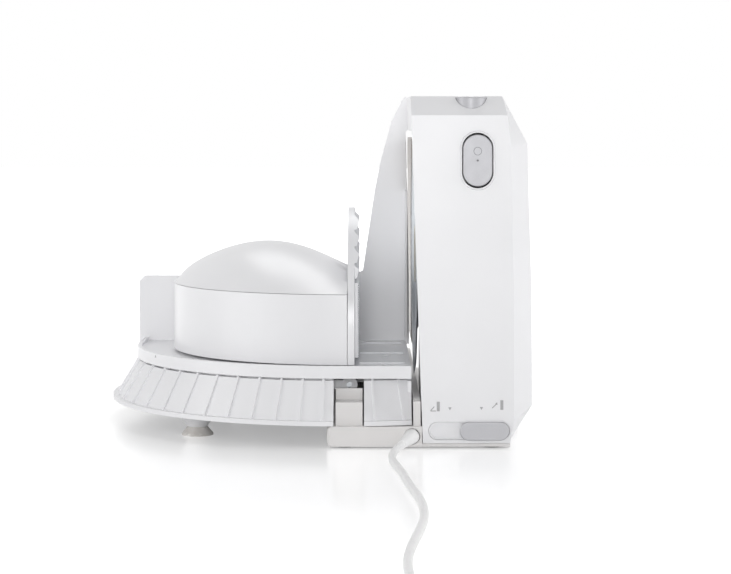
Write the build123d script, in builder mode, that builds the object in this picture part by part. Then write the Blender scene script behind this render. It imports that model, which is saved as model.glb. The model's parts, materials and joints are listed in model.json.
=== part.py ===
from build123d import *
import os
from math import cos, pi, radians, sin, sqrt, tan

os.makedirs("parts", exist_ok=True)

# Folding food slicer, standing on a worktop. X runs to the right across the blade, Y runs back from
# the front face of the tower, Z is up. The origin lies on the worktop below the middle of the slicer.

# Driving sizes of the whole slicer
body_depth = 336.0  # front face of the tower to the back of the base
body_width = 76.0  # food side of the blade to the outside of the tower
table_radius = 170.0  # outer rim of the half-round folding table
table_offset = 53.0  # middle of the table's arc, left of the blade
kerb_top = 31.0  # ledge beside the blade well
blade_radius = 85.0
blade_gap = 7.0  # from the ledge up to the blade
blade_cover = 27.0  # of the tower above the blade
blade_set_back = 105.0  # blade axis behind the front face
wall = 2.5  # moulded walls
deck = 3.0  # moulded decks and carrier plates
gap = 0.4  # between pieces that pass each other
seat = 0.3  # between pieces that rest on each other
running_fit = 0.05  # radial play of shafts
rod_play = 0.1  # radial play of screws and rods
fixed_play = 0.025  # radial play of shafts and rods that are held fast
overrun = 5.0  # how far a cut runs past its piece
nudge = 1e-4  # share of a turn over which a winding's direction is taken
nearly_zero = 1e-9
half_turn = 180.0  # degrees

# Base
base_bottom = 1.0  # lifted by the rubber feet
base_top = 14.5
base_reach = 62.0  # left of the blade
base_corner = 4.0
kerb_left = 4.0
kerb_right = 0.8
kerb_inset = 3.0
tower_floor_top = 3.2
foot_radius = 7.0
foot_boss = 8.5
foot_inset = 12.0
hinge_block_left = 56.0
hinge_block_right = 38.0
hinge_block_drop = 14.0  # below the table's top
hinge_block_inset = 5.0
hinge_cover_inset = 20.0  # wall that hides the hinge

# Tower
front_bevel = 14.0  # depth of the bevelled front, and of the lip that shields the blade
bay_depth = 142.0  # depth of the motor bay
bay_left = 3.0  # motor bay wall, right of the blade
tower_foot = 3.5
parting = 63.0  # joint of the two tower shells, right of the blade
roof_clearance = 3.5  # between the blade and the roof over it
front_outline_shares = [
    (-0.070, 0.945),
    (0.776, 0.945),
    (0.803, 0.851),
    (0.829, 0.426),
    (0.829, 0.081),
    (0.796, 0.015),
    (0.030, 0.015),
]
back_outline_shares = [
    (-0.075, 1.0),
    (0.737, 1.0),
    (0.961, 0.864),
    (1.0, 0.426),
    (1.0, 0.115),
    (0.803, 0.015),
    (0.030, 0.015),
]
post_radius = 4.0
post_hole = 1.5
post_depth = 14.0
post_front = 22.0
post_back = 12.0  # ahead of the back of the bay
post_low = 30.0
post_drop = 70.0  # upper posts below the top
cover_screw_seat = 70.0  # head seats of the cover screws, right of the blade
screw_shank = 1.4
screw_head = 3.4
screw_head_height = 2.0
screw_length = 18.0
lug_radius = 4.0
lug_height = 16.0
lug_shares = [(0.105, 0.215), (0.105, 0.77), (0.68, 0.955)]

# Switch, lock button and fold latch on the front
switch_x = 38.8  # right of the blade
switch_drop = 43.0  # middle of the switch below the top
bezel_width = 23.6
bezel_height = 39.7
bezel_proud = 0.8
bezel_flange = 0.6
bezel_depth = 8.0
rocker_gap = 0.6
rocker_end_gap = 1.1
rocker_front = 1.0
rocker_back = 5.0
rocker_stem = 5.0
rocker_edge = 0.8
pivot_depth = 6.0
pivot_radius = 1.5
pivot_overlap = 0.6  # of the pivot into the bezel
module_width = 22.0
module_depth = 19.0
module_height = 28.0
button_x = 35.0
button_y = 16.0
button_radius = 10.7
button_sink = 0.6  # below the top of the tower
button_height = 18.4
button_travel = 3.0
button_dish = 1.0
button_stem = 3.0
guide_wall = 1.4
guide_drop = 1.5  # below the button's head
spring_wire = 0.8
spring_radius = 4.6
spring_turns = 4
slot_middle = 33.2  # right of the blade
slot_height = 11.7
slot_length = 54.4
slot_width = 12.0
slot_floor = 0.7
latch_length = 33.0
latch_travel = 21.0
latch_proud = 2.6
latch_edge = 0.8
latch_stem = 4.0
latch_play = 0.6
bolt_reach = 41.5
bolt_front = 6.0
bolt_size = 4.0

# Blade and its drive
blade_plate = 1.2
blade_edge = 0.2
blade_bevel = 5.0
blade_ring_inner = 58.0
blade_dish_inner = 50.0
blade_lift = 1.5  # food side of the cutting ring, left of the blade plane
blade_dish = 2.5
blade_bore = 10.0
lock_radius = 20.0
lock_thick = 1.8
lock_slot = 2.0
lock_slot_depth = 1.0
lock_stub = 3.0
gear_module = 1.0
blade_teeth = 60
small_teeth = 15
large_teeth = 45
pinion_teeth = 15
tooth_top_share = 0.9
tooth_root_share = 1.15
tooth_tip_width_share = 0.17
tooth_foot_width_share = 0.56
hub_radius = 14.0
hub_play = 0.8
gear_start = 6.5
gear_width = 8.0
spindle_radius = 4.0
second_start = 16.0
second_width = 6.0
idler_radius = 3.0
idler_hub = 6.0
idler_turn = 217.0  # direction from the blade axis to the idler, degrees from +Y
motor_turn = 240.0  # direction from the idler to the motor, degrees from +Y
carrier_start = 24.0  # gearbox plate, right of the blade
carrier_inset = 10.0
carrier_drop = 60.0  # top of the gearbox plate below the top
carrier_bottom = 20.0
shaft_radius = 2.5
shaft_start = 14.5
shaft_end = 72.0
bush_radius = 5.0
bush_overhang = 0.5
commutator_radius = 9.0
commutator_start = 29.5
commutator_length = 6.5
core_radius = 17.0
core_start = 39.0
core_length = 18.0
core_slots = 12
core_slot_width = 2.0
core_slot_depth = 5.0
stator_radius = 27.5
stator_bore = 23.0
stator_start = 37.0
stator_length = 21.0
pole_gap = 0.6
coil_inner = 18.5
coil_outer = 26.5
coil_thick = 1.6
bracket_start = 61.0
bracket_width = 13.0
bracket_arm = 4.0
fan_start = 65.5
fan_length = 5.5
fan_radius = 22.0
fan_hub = 6.0
fan_blades = 9
fan_blade_thick = 1.2
fan_disc = 1.5
brush_width = 5.0
brush_length = 9.0
holder_wall = 1.5
holder_length = 7.0

# Stop plate and slice thickness
plate_front_reach = 185.0  # behind the front face, before the blade's arc is cut away
plate_back = 332.0
plate_bottom = 52.0
plate_top = 205.0
plate_thick = 3.0
plate_corner = 12.0
edge_gap = 1.8  # between the cutting edge and the stop plate
plate_travel = 17.0
carrier_block = 8.5
pocket_spread = 30.0  # middle of each pocket from the screw
pocket_width = 15.0
block_front = 222.0
block_back = 308.0
block_low = 60.0
block_high = 160.0
frame_start = 28.0
frame_end = 58.0
frame_front = 200.0
frame_back = 330.0
frame_top = 200.0
frame_corner = 14.0
frame_flange = 3.0
rod_radius = 4.0
rod_reach = 36.5
rod_low_share = 0.12
rod_high_share = 0.88
sleeve_wall = 3.0
sleeve_length = 15.0
screw_y = 265.0
screw_z = 110.0
thickness_radius = 4.0
nut_radius = 7.0
nut_reach = 24.0
nut_play = 0.3
thickness_start = 19.5
knob_radius = 24.0
knob_start = 58.5
knob_length = 16.5
knob_flutes = 18
flute_radius = 2.6
pointer_width = 2.0
pointer_length = 14.0
pointer_proud = 0.6
guard_inner = 2.0  # guard arc outside the cutting edge
guard_thick = 5.0
guard_start = 3.5
guard_width = 5.0
guard_low = 18.0  # degrees above the blade axis

# Folding table and the fixed strip beside the blade
table_rise = 13.0  # above the ledge beside the blade
table_rim_bottom = 15.0
rim_height = 3.0
rim_width = 4.5
skirt_run = 19.0  # how far the skirt slopes outward
table_edge = 57.5  # right edge of the folding table, left of the blade
strip_left = 37.0
strip_right = 5.0
rebate_width = 4.0  # round the edge of the deck
rebate_depth = 1.0
rib_count = 13  # in each quarter of the folding table
rib_first = 4.3  # degrees from the middle line to the first rib
rib_step = 5.2  # degrees between the first ribs
rib_spread = 0.15  # degrees that each step grows by
rib_thick = 1.6
rib_proud = 1.0
strip_rib_angles = [8.2, 15.0]
stiffener_drop = 14.0  # below the table's top
stiffener_thick = 2.0
stiffener_count = 4
table_spine = 120.0  # left of the blade
hinge_x = 47.0  # left of the blade
hinge_drop = 6.0  # below the table's top
hinge_radius = 5.5
pin_radius = 2.0
knuckle_count = 7
hinge_front = 36.0
web_thick = 6.0
table_foot_x = 153.0  # left of the blade
table_foot_inset = 63.0
stem_low = 6.0
stem_high_radius = 8.5
collar_radius = 12.5
collar_low = 13.5
collar_high = 15.5
stem_peg_radius = 5.0
stem_peg_end = 0.5  # below the deck
stem_low_radius = 7.0
cup_radius = 11.0
cup_height = 5.5
cup_lip = 1.2
cup_hollow = 2.5

# Carriage on its shoe
track_x = 22.0  # left of the blade
track_width = 5.4
track_inset = 26.0
shoe_front = 30.0
shoe_length = 80.0
shoe_foot_width = 12.0
shoe_foot_thick = 4.0
shoe_head_width = 20.0
shoe_head_rise = 3.2  # above the table's top
peg_radius = 2.5
peg_height = 2.4
peg_inset = 15.0
peg_play = 0.4
carriage_radius = 152.0
carriage_right = 5.0
carriage_back = 211.0
lip_gap = 0.5  # above the table
lip_height = 8.5
lip_wall = 3.0
floor_thick = 3.0
floor_rib_shares = [0.246, 0.540, 0.863]
floor_rib_left = 40.0
floor_rib_right = 9.0
floor_rib_width = 2.0
floor_rib_height = 1.1
back_wall = 3.0
back_wall_height = 52.4
back_wall_left = 209.0
back_wall_corner = 4.0
guard_reach = 45.0  # left end of the tall guard, left of the blade
guard_outline_shares = [
    (1.0, 0.4255),
    (0.844, 0.4426),
    (0.644, 0.702),
    (0.556, 0.787),
    (0.356, 0.928),
    (0.178, 0.996),
    (0.122, 1.008),
    (0.078, 1.004),
    (0.071, 0.902),
    (0.116, 0.894),
    (0.093, 0.702),
    (0.062, 0.4085),
    (0.058, 0.255),
]
flange_left = 6.0
flange_right = 4.2
flange_depth = 11.0
flange_top = 165.0

# Remnant holder
holder_plate_left = 48.3
holder_plate_right = 43.5
holder_front = 28.0
holder_back = 200.0
holder_lift = 0.6  # above the floor's ribs
holder_height = 103.7
holder_corner = 80.0
tooth_depth = 3.2
tooth_pitch = 10.8
tooth_rows = 4
tooth_drop = 4.0  # first tooth below the plate's top
tooth_inset = 12.0
ridge_base = 1.9
ridge_depth = 1.2
ridge_pitch = 1.6
ridge_count = 32
ridge_rise = 3.7  # above the plate's bottom
holder_radius = 128.6
holder_middle = 156.6
dome_tops_shares = [(0.975, 0.10), (0.86, 0.50), (0.66, 0.86), (0.43, 1.0), (0.20, 0.80), (0.0, 0.42)]
dome_height = 31.0
dome_back_share = 0.3
hook_left = 168.0
hook_right = 82.0
hook_thick = 2.5
hook_drop = 12.0
holder_screw_shares = [(0.25, 0.35), (0.25, 0.75), (0.75, 0.55)]

# Cord
cord_diameter = 5.0
bend_share = 0.45  # of the shorter run that each bend of the cord may use
relief_radius = 5.0
relief_length = 22.0
relief_play = 0.2
coil_radius = 31.0
coil_gap = 0.6
coil_turns_down = 2.25  # inward below
coil_turns_up = 2.0  # outward above
climb_turns = 0.5
coil_samples = 1200
plug_length = 36.0
plug_width = 26.0
plug_neck_width = 15.0
plug_neck_height = 10.0
plug_neck = 12.0
plug_edge = 2.0
pin_spread = 19.0
plug_pin_radius = 2.0
plug_pin_length = 19.0

# Places that follow from the driving sizes
blade_height = kerb_top + blade_gap + blade_radius
body_height = blade_height + blade_radius + blade_cover
blade_x = (table_radius + table_offset - body_width) / 2
front_y = -body_depth / 2
back_y = body_depth / 2
table_x = blade_x - table_offset
blade_y = front_y + blade_set_back
bay_back = front_y + bay_depth
carriage_back_y = front_y + carriage_back
cord_radius = cord_diameter / 2
post_high = body_height - post_drop
carrier_top = body_height - carrier_drop
switch_z = body_height - switch_drop
module_low = switch_z - module_height / 2
module_high = switch_z + module_height / 2
button_top = body_height - button_sink
button_bottom = button_top - button_height
guide_top = button_bottom - guide_drop
table_top = kerb_top + table_rise
hinge_z = table_top - hinge_drop
hinge_block_top = table_top - hinge_block_drop
stiffener_low = table_top - stiffener_drop
stem_peg_top = table_top - deck - stem_peg_end
shoe_head_top = table_top + shoe_head_rise
lip_bottom = table_top + lip_gap
lip_top = lip_bottom + lip_height
floor_bottom = shoe_head_top + gap
back_wall_top = floor_bottom + back_wall_height
holder_bottom = floor_bottom + floor_thick + floor_rib_height + holder_lift
holder_top = holder_bottom + holder_height
holder_joint = back_wall_top
tooth_top_row = holder_top - tooth_drop
ridge_bottom = holder_bottom + ridge_rise
idler_y = blade_y + gear_module * (blade_teeth + small_teeth) / 2 * cos(radians(idler_turn))
idler_z = blade_height + gear_module * (blade_teeth + small_teeth) / 2 * sin(radians(idler_turn))
motor_y = idler_y + gear_module * (large_teeth + pinion_teeth) / 2 * cos(radians(motor_turn))
motor_z = idler_z + gear_module * (large_teeth + pinion_teeth) / 2 * sin(radians(motor_turn))

# Where the cord leaves the base, its route from the strain relief to the coil, and from the coil to
# the plug, chosen by hand
cord_exit = (68.5, -167.5, 8.0)
cord_bends = [
    (56.0, -204.0, 4.0),
    (54.0, -224.0, 2.6),
    (56.5, -250.0, 2.5),
    (60.5, -280.0, 2.5),
    (62.5, -312.0, 2.5),
    (66.5, -346.0, 2.5),
    (70.0, -384.0, 2.5),
    (70.0, -424.0, 2.5),
    (65.5, -466.0, 2.5),
    (60.0, -508.0, 2.5),
    (57.5, -548.0, 2.5),
    (59.5, -586.0, 2.5),
    (60.0, -612.0, 2.5),
    (60.0, -634.0, 2.5),
]
tail_steps = [(-13.0, 0.0, 0.0), (-15.0, -5.0, 0.0), (-16.0, -9.0, 0.0), (-16.0, -6.0, 0.0)]


def block(low, high, mode=Mode.ADD):
    """Rectangular block between two opposite corners."""
    with Locations(tuple((a + b) / 2 for a, b in zip(low, high))):
        Box(*(b - a for a, b in zip(low, high)), mode=mode)


def rod(start, y, z, radius, length, mode=Mode.ADD):
    """Round bar along X from a distance right of the blade."""
    with BuildSketch(Plane.YZ.offset(blade_x + start)) as end:
        with Locations((y, z)):
            Circle(radius)
    extrude(end.sketch, amount=length, mode=mode)


def post(x, y, bottom, top, radius, mode=Mode.ADD):
    """Upright round bar between two heights."""
    with BuildSketch(Plane.XY.offset(bottom)) as end:
        with Locations((x, y)):
            Circle(radius)
    extrude(end.sketch, amount=top - bottom, mode=mode)


def front_plane(depth):
    """Upright plane facing the user, at a depth behind the front face."""
    return Plane.XZ.offset(-(front_y + depth))


def stadium(depth, x, z, length, width, thick, turn=0.0, mode=Mode.ADD):
    """Round-ended plate facing the user, from a depth backward."""
    with BuildSketch(front_plane(depth)) as outline:
        with Locations((blade_x + x, z)):
            SlotOverall(length, width, rotation=turn)
    extrude(outline.sketch, amount=-thick, mode=mode)


def outline(shares, left=None):
    """Corner points of the tower's outline, its left side replaced by a straight one if given."""
    points = [(blade_x + across * body_width, up * body_height) for across, up in shares]
    if left is not None:
        points[0] = (blade_x + left, points[0][1])
        points[-1] = (blade_x + left, points[-1][1])
    return points


# Section of the roof over the blade, which carries on the slanting edge of the lip in front of it
roof_bottom = blade_height + blade_radius + roof_clearance
lip_head, lip_foot = outline(back_outline_shares)[0], outline(back_outline_shares)[-1]
lip_slant = (lip_foot[0] - lip_head[0]) / (lip_head[1] - lip_foot[1])
roof_points = [
    lip_head,
    (blade_x + bay_left + wall, body_height),
    (blade_x + bay_left + wall, roof_bottom),
    (lip_head[0] + lip_slant * (body_height - roof_bottom), roof_bottom),
]


def tower_shell():
    """Both tower shells in one: bevelled front, straight bay behind it, hollow and open below."""
    with BuildPart() as shell:
        with BuildSketch(front_plane(0)):
            Polygon(*outline(front_outline_shares), align=None)
        with BuildSketch(front_plane(front_bevel)):
            Polygon(*outline(back_outline_shares), align=None)
        loft(ruled=True)
        with BuildSketch(front_plane(front_bevel)):
            Polygon(*outline(back_outline_shares, bay_left), align=None)
        extrude(amount=front_bevel - bay_depth)
        with BuildSketch(front_plane(front_bevel)):
            Polygon(*roof_points, align=None)
        extrude(amount=front_bevel - bay_depth)
        back_edges = shell.faces().sort_by(Axis.Y)[-1].edges().filter_by(Axis.Z, reverse=True)
        fillet(back_edges.sort_by(Axis.Z)[-2:], radius=front_bevel / 2)
        with BuildSketch(front_plane(wall)):
            Polygon(*outline(front_outline_shares), align=None)
            offset(amount=-wall, kind=Kind.INTERSECTION)
        with BuildSketch(front_plane(front_bevel)):
            Polygon(*outline(back_outline_shares, bay_left), align=None)
            offset(amount=-wall, kind=Kind.INTERSECTION)
        loft(ruled=True, mode=Mode.SUBTRACT)
        with BuildSketch(front_plane(front_bevel)):
            Polygon(*outline(back_outline_shares, bay_left), align=None)
            offset(amount=-wall, kind=Kind.INTERSECTION)
        extrude(amount=front_bevel + wall + gap - bay_depth, mode=Mode.SUBTRACT)
        block(
            (roof_points[-1][0] + wall, front_y + front_bevel, roof_bottom + wall),
            (roof_points[1][0] + overrun, bay_back - wall - gap, body_height - wall),
            Mode.SUBTRACT,
        )
        block(
            (blade_x + bay_left + wall, front_y + wall * 2, tower_foot - overrun),
            (
                blade_x + front_outline_shares[-2][0] * body_width - wall,
                bay_back - wall - gap,
                tower_foot + overrun,
            ),
            Mode.SUBTRACT,
        )
    return shell.part


# Base: open-bottomed shell left of the tower and behind it, with a floor under the tower
base_left = blade_x - base_reach
base_step = blade_x + bay_left - gap * 3
tower_right = blade_x + body_width
floor_right = blade_x + front_outline_shares[-2][0] * body_width
feet = [
    (base_left + foot_inset, front_y + foot_inset),
    (base_left + foot_inset, back_y - foot_inset),
    (tower_right - foot_inset, back_y - foot_inset),
    (floor_right - foot_inset, front_y + foot_inset),
]
lugs = [(blade_x + across * body_width, front_y + back * bay_depth) for across, back in lug_shares]
frame_lugs = [
    (blade_x + (frame_start + frame_end) / 2, front_y + along)
    for along in (frame_front + frame_corner, frame_back - frame_corner)
]
with BuildPart() as base_plate:
    block((base_left, front_y + gap, base_bottom), (base_step, back_y, base_top))
    block((base_step - overrun, bay_back + gap, base_bottom), (tower_right, back_y, base_top))
    long_edges = base_plate.faces().sort_by(Axis.X)[0].edges()
    fillet(long_edges, radius=base_corner)
    block(
        (base_left + wall, front_y + gap + wall, base_bottom - overrun),
        (base_step - wall, back_y - wall, base_top - wall),
        Mode.SUBTRACT,
    )
    block(
        (base_step, bay_back + gap + wall, base_bottom - overrun),
        (tower_right - wall, back_y - wall, base_top - wall),
        Mode.SUBTRACT,
    )
    block((base_step - wall, front_y + gap * 3, base_bottom), (floor_right, bay_back + wall, tower_floor_top))
    block(
        (blade_x - kerb_left, front_y + kerb_inset, base_top - wall),
        (blade_x + kerb_right, back_y - kerb_inset, kerb_top),
    )
    block(
        (blade_x - hinge_block_left, front_y + hinge_block_inset, base_top - wall),
        (blade_x - hinge_block_right, back_y - hinge_block_inset, hinge_block_top),
    )
    block(
        (blade_x - hinge_block_left, front_y + hinge_cover_inset, hinge_block_top - wall),
        (blade_x - hinge_block_right, front_y + hinge_cover_inset + wall, hinge_z - gap),
    )
    for x, y in feet[:3]:
        post(x, y, base_bottom, base_top - wall, foot_boss)
    for x, y in lugs:
        post(x, y, base_bottom - overrun, tower_floor_top + overrun, screw_shank + rod_play, Mode.SUBTRACT)
    for x, y in frame_lugs:
        post(x, y, base_bottom, base_top - wall, lug_radius)
        post(x, y, base_bottom - overrun, base_top + overrun, screw_shank + rod_play, Mode.SUBTRACT)
    block(
        (base_step - wall - overrun, front_y + bolt_front - gap, slot_height - bolt_size / 2 - gap),
        (base_step + overrun, front_y + bolt_front + bolt_size + gap, slot_height + bolt_size / 2 + gap),
        Mode.SUBTRACT,
    )
    with BuildSketch(front_plane(gap - overrun)) as cord_hole:
        with Locations((cord_exit[0], cord_exit[2])):
            Circle(relief_radius + gap)
    extrude(cord_hole.sketch, amount=-overrun * 2, mode=Mode.SUBTRACT)
base_plate.part.label = "base_plate"

with BuildPart() as base_feet:
    for x, y in feet:
        post(x, y, 0, base_bottom, foot_radius)
base_feet.part.label = "base_feet"

# Tower shells, parted along the crease
shell = tower_shell()
posts = [
    (front_y + along, up)
    for along in (post_front, bay_depth - post_back)
    for up in (post_low, post_high)
]
with BuildPart() as motor_housing:
    add(shell)
    split(bisect_by=Plane.YZ.offset(blade_x + parting), keep=Keep.BOTTOM)
    for y, z in posts:
        rod(bay_left + wall / 2, y, z, post_radius, parting - bay_left - wall / 2)
        rod(parting - post_depth, y, z, post_hole, post_depth + overrun, Mode.SUBTRACT)
    for x, y in lugs:
        post(x, y, tower_foot, tower_foot + lug_height, lug_radius)
        post(x, y, tower_foot - overrun, tower_foot + lug_height - wall, post_hole, Mode.SUBTRACT)
    rod(bay_left - overrun, blade_y, blade_height, hub_radius + hub_play, wall + overrun * 2, Mode.SUBTRACT)
    stadium(
        -overrun, switch_x, switch_z, bezel_height - bezel_proud, bezel_width - bezel_proud,
        overrun + wall * 3, 90, Mode.SUBTRACT,
    )
    stadium(-overrun, slot_middle, slot_height, slot_length, slot_width, overrun + wall * 2, 0, Mode.SUBTRACT)
    post(
        blade_x + button_x, front_y + button_y, guide_top, body_height + overrun,
        button_radius + gap, Mode.SUBTRACT,
    )
    block(
        (blade_x - overrun, front_y + bolt_front - gap, slot_height - bolt_size / 2 - gap),
        (
            blade_x + bay_left + wall + overrun,
            front_y + bolt_front + bolt_size + gap,
            slot_height + bolt_size / 2 + gap,
        ),
        Mode.SUBTRACT,
    )
motor_housing.part.label = "motor_housing"

with BuildPart() as housing_cover:
    add(shell)
    split(bisect_by=Plane.YZ.offset(blade_x + parting), keep=Keep.TOP)
    for y, z in posts:
        rod(parting, y, z, post_radius, cover_screw_seat - parting)
        rod(cover_screw_seat, y, z, screw_head + gap + wall, wall)
        rod(parting - overrun, y, z, screw_shank + rod_play, body_width, Mode.SUBTRACT)
        rod(cover_screw_seat, y, z, screw_head + gap, body_width, Mode.SUBTRACT)
housing_cover.part.label = "housing_cover"

with BuildPart() as housing_screws:
    for y, z in posts:
        rod(cover_screw_seat + screw_head_height - screw_length, y, z, screw_shank, screw_length)
        rod(cover_screw_seat, y, z, screw_head, screw_head_height)
        with Locations((blade_x + cover_screw_seat + screw_head_height, y, z)):
            Box(screw_head_height, screw_shank / 2, screw_head * 2, mode=Mode.SUBTRACT)
housing_screws.part.label = "housing_screws"

with BuildPart() as base_screws:
    for x, y in lugs:
        post(x, y, base_bottom, tower_foot + lug_height - wall * 2, screw_shank)
    for x, y in frame_lugs:
        post(x, y, base_bottom, base_top + frame_flange, screw_shank)
base_screws.part.label = "base_screws"

# Switch, lock button and fold latch on the front of the tower
bezel_inner_width = bezel_width - (bezel_flange + bezel_proud) * 2
bezel_inner_height = bezel_height - (bezel_flange + bezel_proud) * 2
with BuildPart() as switch_bezel:
    stadium(-bezel_proud, switch_x, switch_z, bezel_height, bezel_width, bezel_proud, 90)
    stadium(
        -bezel_proud, switch_x, switch_z, bezel_height - bezel_proud - gap, bezel_width - bezel_proud - gap,
        bezel_depth + bezel_proud, 90,
    )
    stadium(
        -overrun, switch_x, switch_z, bezel_inner_height, bezel_inner_width,
        bezel_depth + overrun * 2, 90, Mode.SUBTRACT,
    )
    rod(
        switch_x - bezel_width / 2, front_y + pivot_depth, switch_z, pivot_radius + running_fit,
        bezel_width, Mode.SUBTRACT,
    )
switch_bezel.part.label = "switch_bezel"

with BuildPart() as switch_rocker:
    stadium(
        -rocker_front, switch_x, switch_z, bezel_inner_height - rocker_end_gap * 2,
        bezel_inner_width - rocker_gap * 2, rocker_front + rocker_back, 90,
    )
    fillet(switch_rocker.faces().sort_by(Axis.Y)[0].edges(), radius=rocker_edge)
    block(
        (blade_x + switch_x - rocker_stem, front_y + rocker_back, switch_z - rocker_stem / 2),
        (blade_x + switch_x + rocker_stem, front_y + bezel_depth, switch_z + rocker_stem / 2),
    )
    pivot_reach = bezel_inner_width / 2 + pivot_overlap
    rod(switch_x - pivot_reach, front_y + pivot_depth, switch_z, pivot_radius, pivot_reach * 2)
switch_rocker.part.label = "switch_rocker"

with BuildPart() as switch_module:
    block(
        (blade_x + switch_x - module_width / 2, front_y + bezel_depth + seat, module_low),
        (blade_x + switch_x + module_width / 2, front_y + bezel_depth + module_depth, module_high),
    )
    block(
        (blade_x + switch_x - rocker_stem - gap, front_y + bezel_depth, switch_z - rocker_stem),
        (blade_x + switch_x + rocker_stem + gap, front_y + bezel_depth + wall, switch_z + rocker_stem),
        Mode.SUBTRACT,
    )
switch_module.part.label = "switch_module"

button_place = (blade_x + button_x, front_y + button_y)
with BuildPart() as lock_button:
    post(*button_place, button_bottom, button_top, button_radius)
    fillet(lock_button.faces().sort_by(Axis.Z)[-1].edges(), radius=button_dish)
    post(*button_place, module_high + button_travel + gap, button_bottom, button_stem)
lock_button.part.label = "lock_button"

with BuildPart() as button_guide:
    post(*button_place, module_high, guide_top, button_radius + running_fit + guide_wall)
    post(
        *button_place, module_high - overrun, guide_top + overrun, button_radius + running_fit,
        Mode.SUBTRACT,
    )
    block(
        (button_place[0] - body_width, front_y, module_high - overrun),
        (button_place[0] + body_width, front_y + bezel_depth + gap, switch_z + bezel_height / 2 + gap),
        Mode.SUBTRACT,
    )
button_guide.part.label = "button_guide"


def biarc(start, start_way, end, end_way):
    """Two arcs that leave one point and reach another in given directions."""
    across = end - start
    ways = start_way + end_way
    spread = 2 * (1 - start_way.dot(end_way))
    along = across.dot(ways)
    if abs(spread) < nearly_zero:
        reach = across.dot(across) / (4 * across.dot(end_way))
    else:
        reach = (sqrt(along * along + spread * across.dot(across)) - along) / spread
    joint = (start + start_way * reach + end - end_way * reach) / 2
    first = Edge.make_tangent_arc(start, start_way, joint)
    second = Edge.make_tangent_arc(joint, first.tangent_at(1), end)
    return [first, second]


def winding(knots, steps, ends=None):
    """Smooth run of biarcs through the points a formula gives, with set directions at its ends."""
    places = [knots(step) for step in steps]
    ways = [(knots(step + nudge) - knots(step - nudge)).normalized() for step in steps]
    if ends:
        ways[0], ways[-1] = ends
    edges = []
    for k in range(len(places) - 1):
        edges += biarc(places[k], ways[k], places[k + 1], ways[k + 1])
    return edges


# Return spring under the lock button
spring_bottom = module_high + spring_wire / 2
spring_top = button_bottom - spring_wire / 2


def spring_knot(turn):
    """Point of the spring after a number of turns."""
    rise = (spring_top - spring_bottom) / spring_turns
    return Vector(
        button_place[0] + spring_radius * cos(2 * pi * turn),
        button_place[1] + spring_radius * sin(2 * pi * turn),
        spring_bottom + rise * turn,
    )


spring_path = Wire(winding(spring_knot, [step / 4 for step in range(spring_turns * 4 + 1)]))
with BuildPart() as button_spring:
    with BuildSketch(Plane(origin=spring_path @ 0, z_dir=spring_path % 0)):
        Circle(spring_wire / 2)
    sweep(path=spring_path)
button_spring.part.label = "button_spring"

# Fold latch: slot trim, slider and bolt
slot_right = slot_middle + slot_length / 2
latch_middle = slot_right - latch_play - latch_length / 2
stem_middle = latch_middle + latch_length / 2 - latch_stem * 1.5
with BuildPart() as slider_bezel:
    stadium(seat, slot_middle, slot_height, slot_length - gap, slot_width - gap, wall + slot_floor)
    stadium(
        seat - overrun, slot_middle, slot_height, slot_length - gap - bezel_proud * 2,
        slot_width - gap - bezel_proud * 2, overrun + wall - slot_floor, 0, Mode.SUBTRACT,
    )
    block(
        (
            blade_x + stem_middle - latch_travel - latch_stem / 2 - gap,
            front_y,
            slot_height - latch_stem / 2 - gap,
        ),
        (
            blade_x + stem_middle + latch_stem / 2 + gap,
            front_y + wall + overrun,
            slot_height + latch_stem / 2 + gap,
        ),
        Mode.SUBTRACT,
    )
slider_bezel.part.label = "slider_bezel"

with BuildPart() as latch_slider:
    stadium(
        -latch_proud, latch_middle, slot_height, latch_length, slot_width + gap, latch_proud - seat,
    )
    fillet(latch_slider.faces().sort_by(Axis.Y)[0].edges(), radius=latch_edge)
    block(
        (blade_x + stem_middle - latch_stem / 2, front_y - latch_edge, slot_height - latch_stem / 2),
        (blade_x + stem_middle + latch_stem / 2, front_y + bolt_front, slot_height + latch_stem / 2),
    )
latch_slider.part.label = "latch_slider"

with BuildPart() as latch_bolt:
    block(
        (blade_x + stem_middle + latch_stem - bolt_reach, front_y + bolt_front, slot_height - bolt_size / 2),
        (blade_x + stem_middle + latch_stem, front_y + bolt_front + bolt_size, slot_height + bolt_size / 2),
    )
    tip_edge = latch_bolt.faces().sort_by(Axis.X)[0].edges().sort_by(Axis.Z)[-1]
    chamfer(tip_edge, length=bolt_size / 2)
latch_bolt.part.label = "latch_bolt"


def gear_points(teeth, y, z, phase):
    """Outline of a spur gear, four corners a tooth; phase turns it by a share of one tooth."""
    pitch_radius = gear_module * teeth / 2
    top = pitch_radius + gear_module * tooth_top_share
    root = pitch_radius - gear_module * tooth_root_share
    step = 2 * pi / teeth
    points = []
    for tooth in range(teeth):
        middle = (tooth + phase) * step
        for radius, half in (
            (root, -tooth_foot_width_share / 2),
            (top, -tooth_tip_width_share / 2),
            (top, tooth_tip_width_share / 2),
            (root, tooth_foot_width_share / 2),
        ):
            angle = middle + half * step
            points.append((y + radius * cos(angle), z + radius * sin(angle)))
    return points


def gear(teeth, y, z, phase, start, width):
    """Spur gear on an axis along X."""
    with BuildSketch(Plane.YZ.offset(blade_x + start)) as teeth_outline:
        Polygon(*gear_points(teeth, y, z, phase), align=None)
    extrude(teeth_outline.sketch, amount=width)


def mesh_phase(teeth, turn):
    """Turn, in teeth, that puts a tooth of a gear on the line to its neighbour."""
    return radians(turn) / (2 * pi) * teeth


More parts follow.
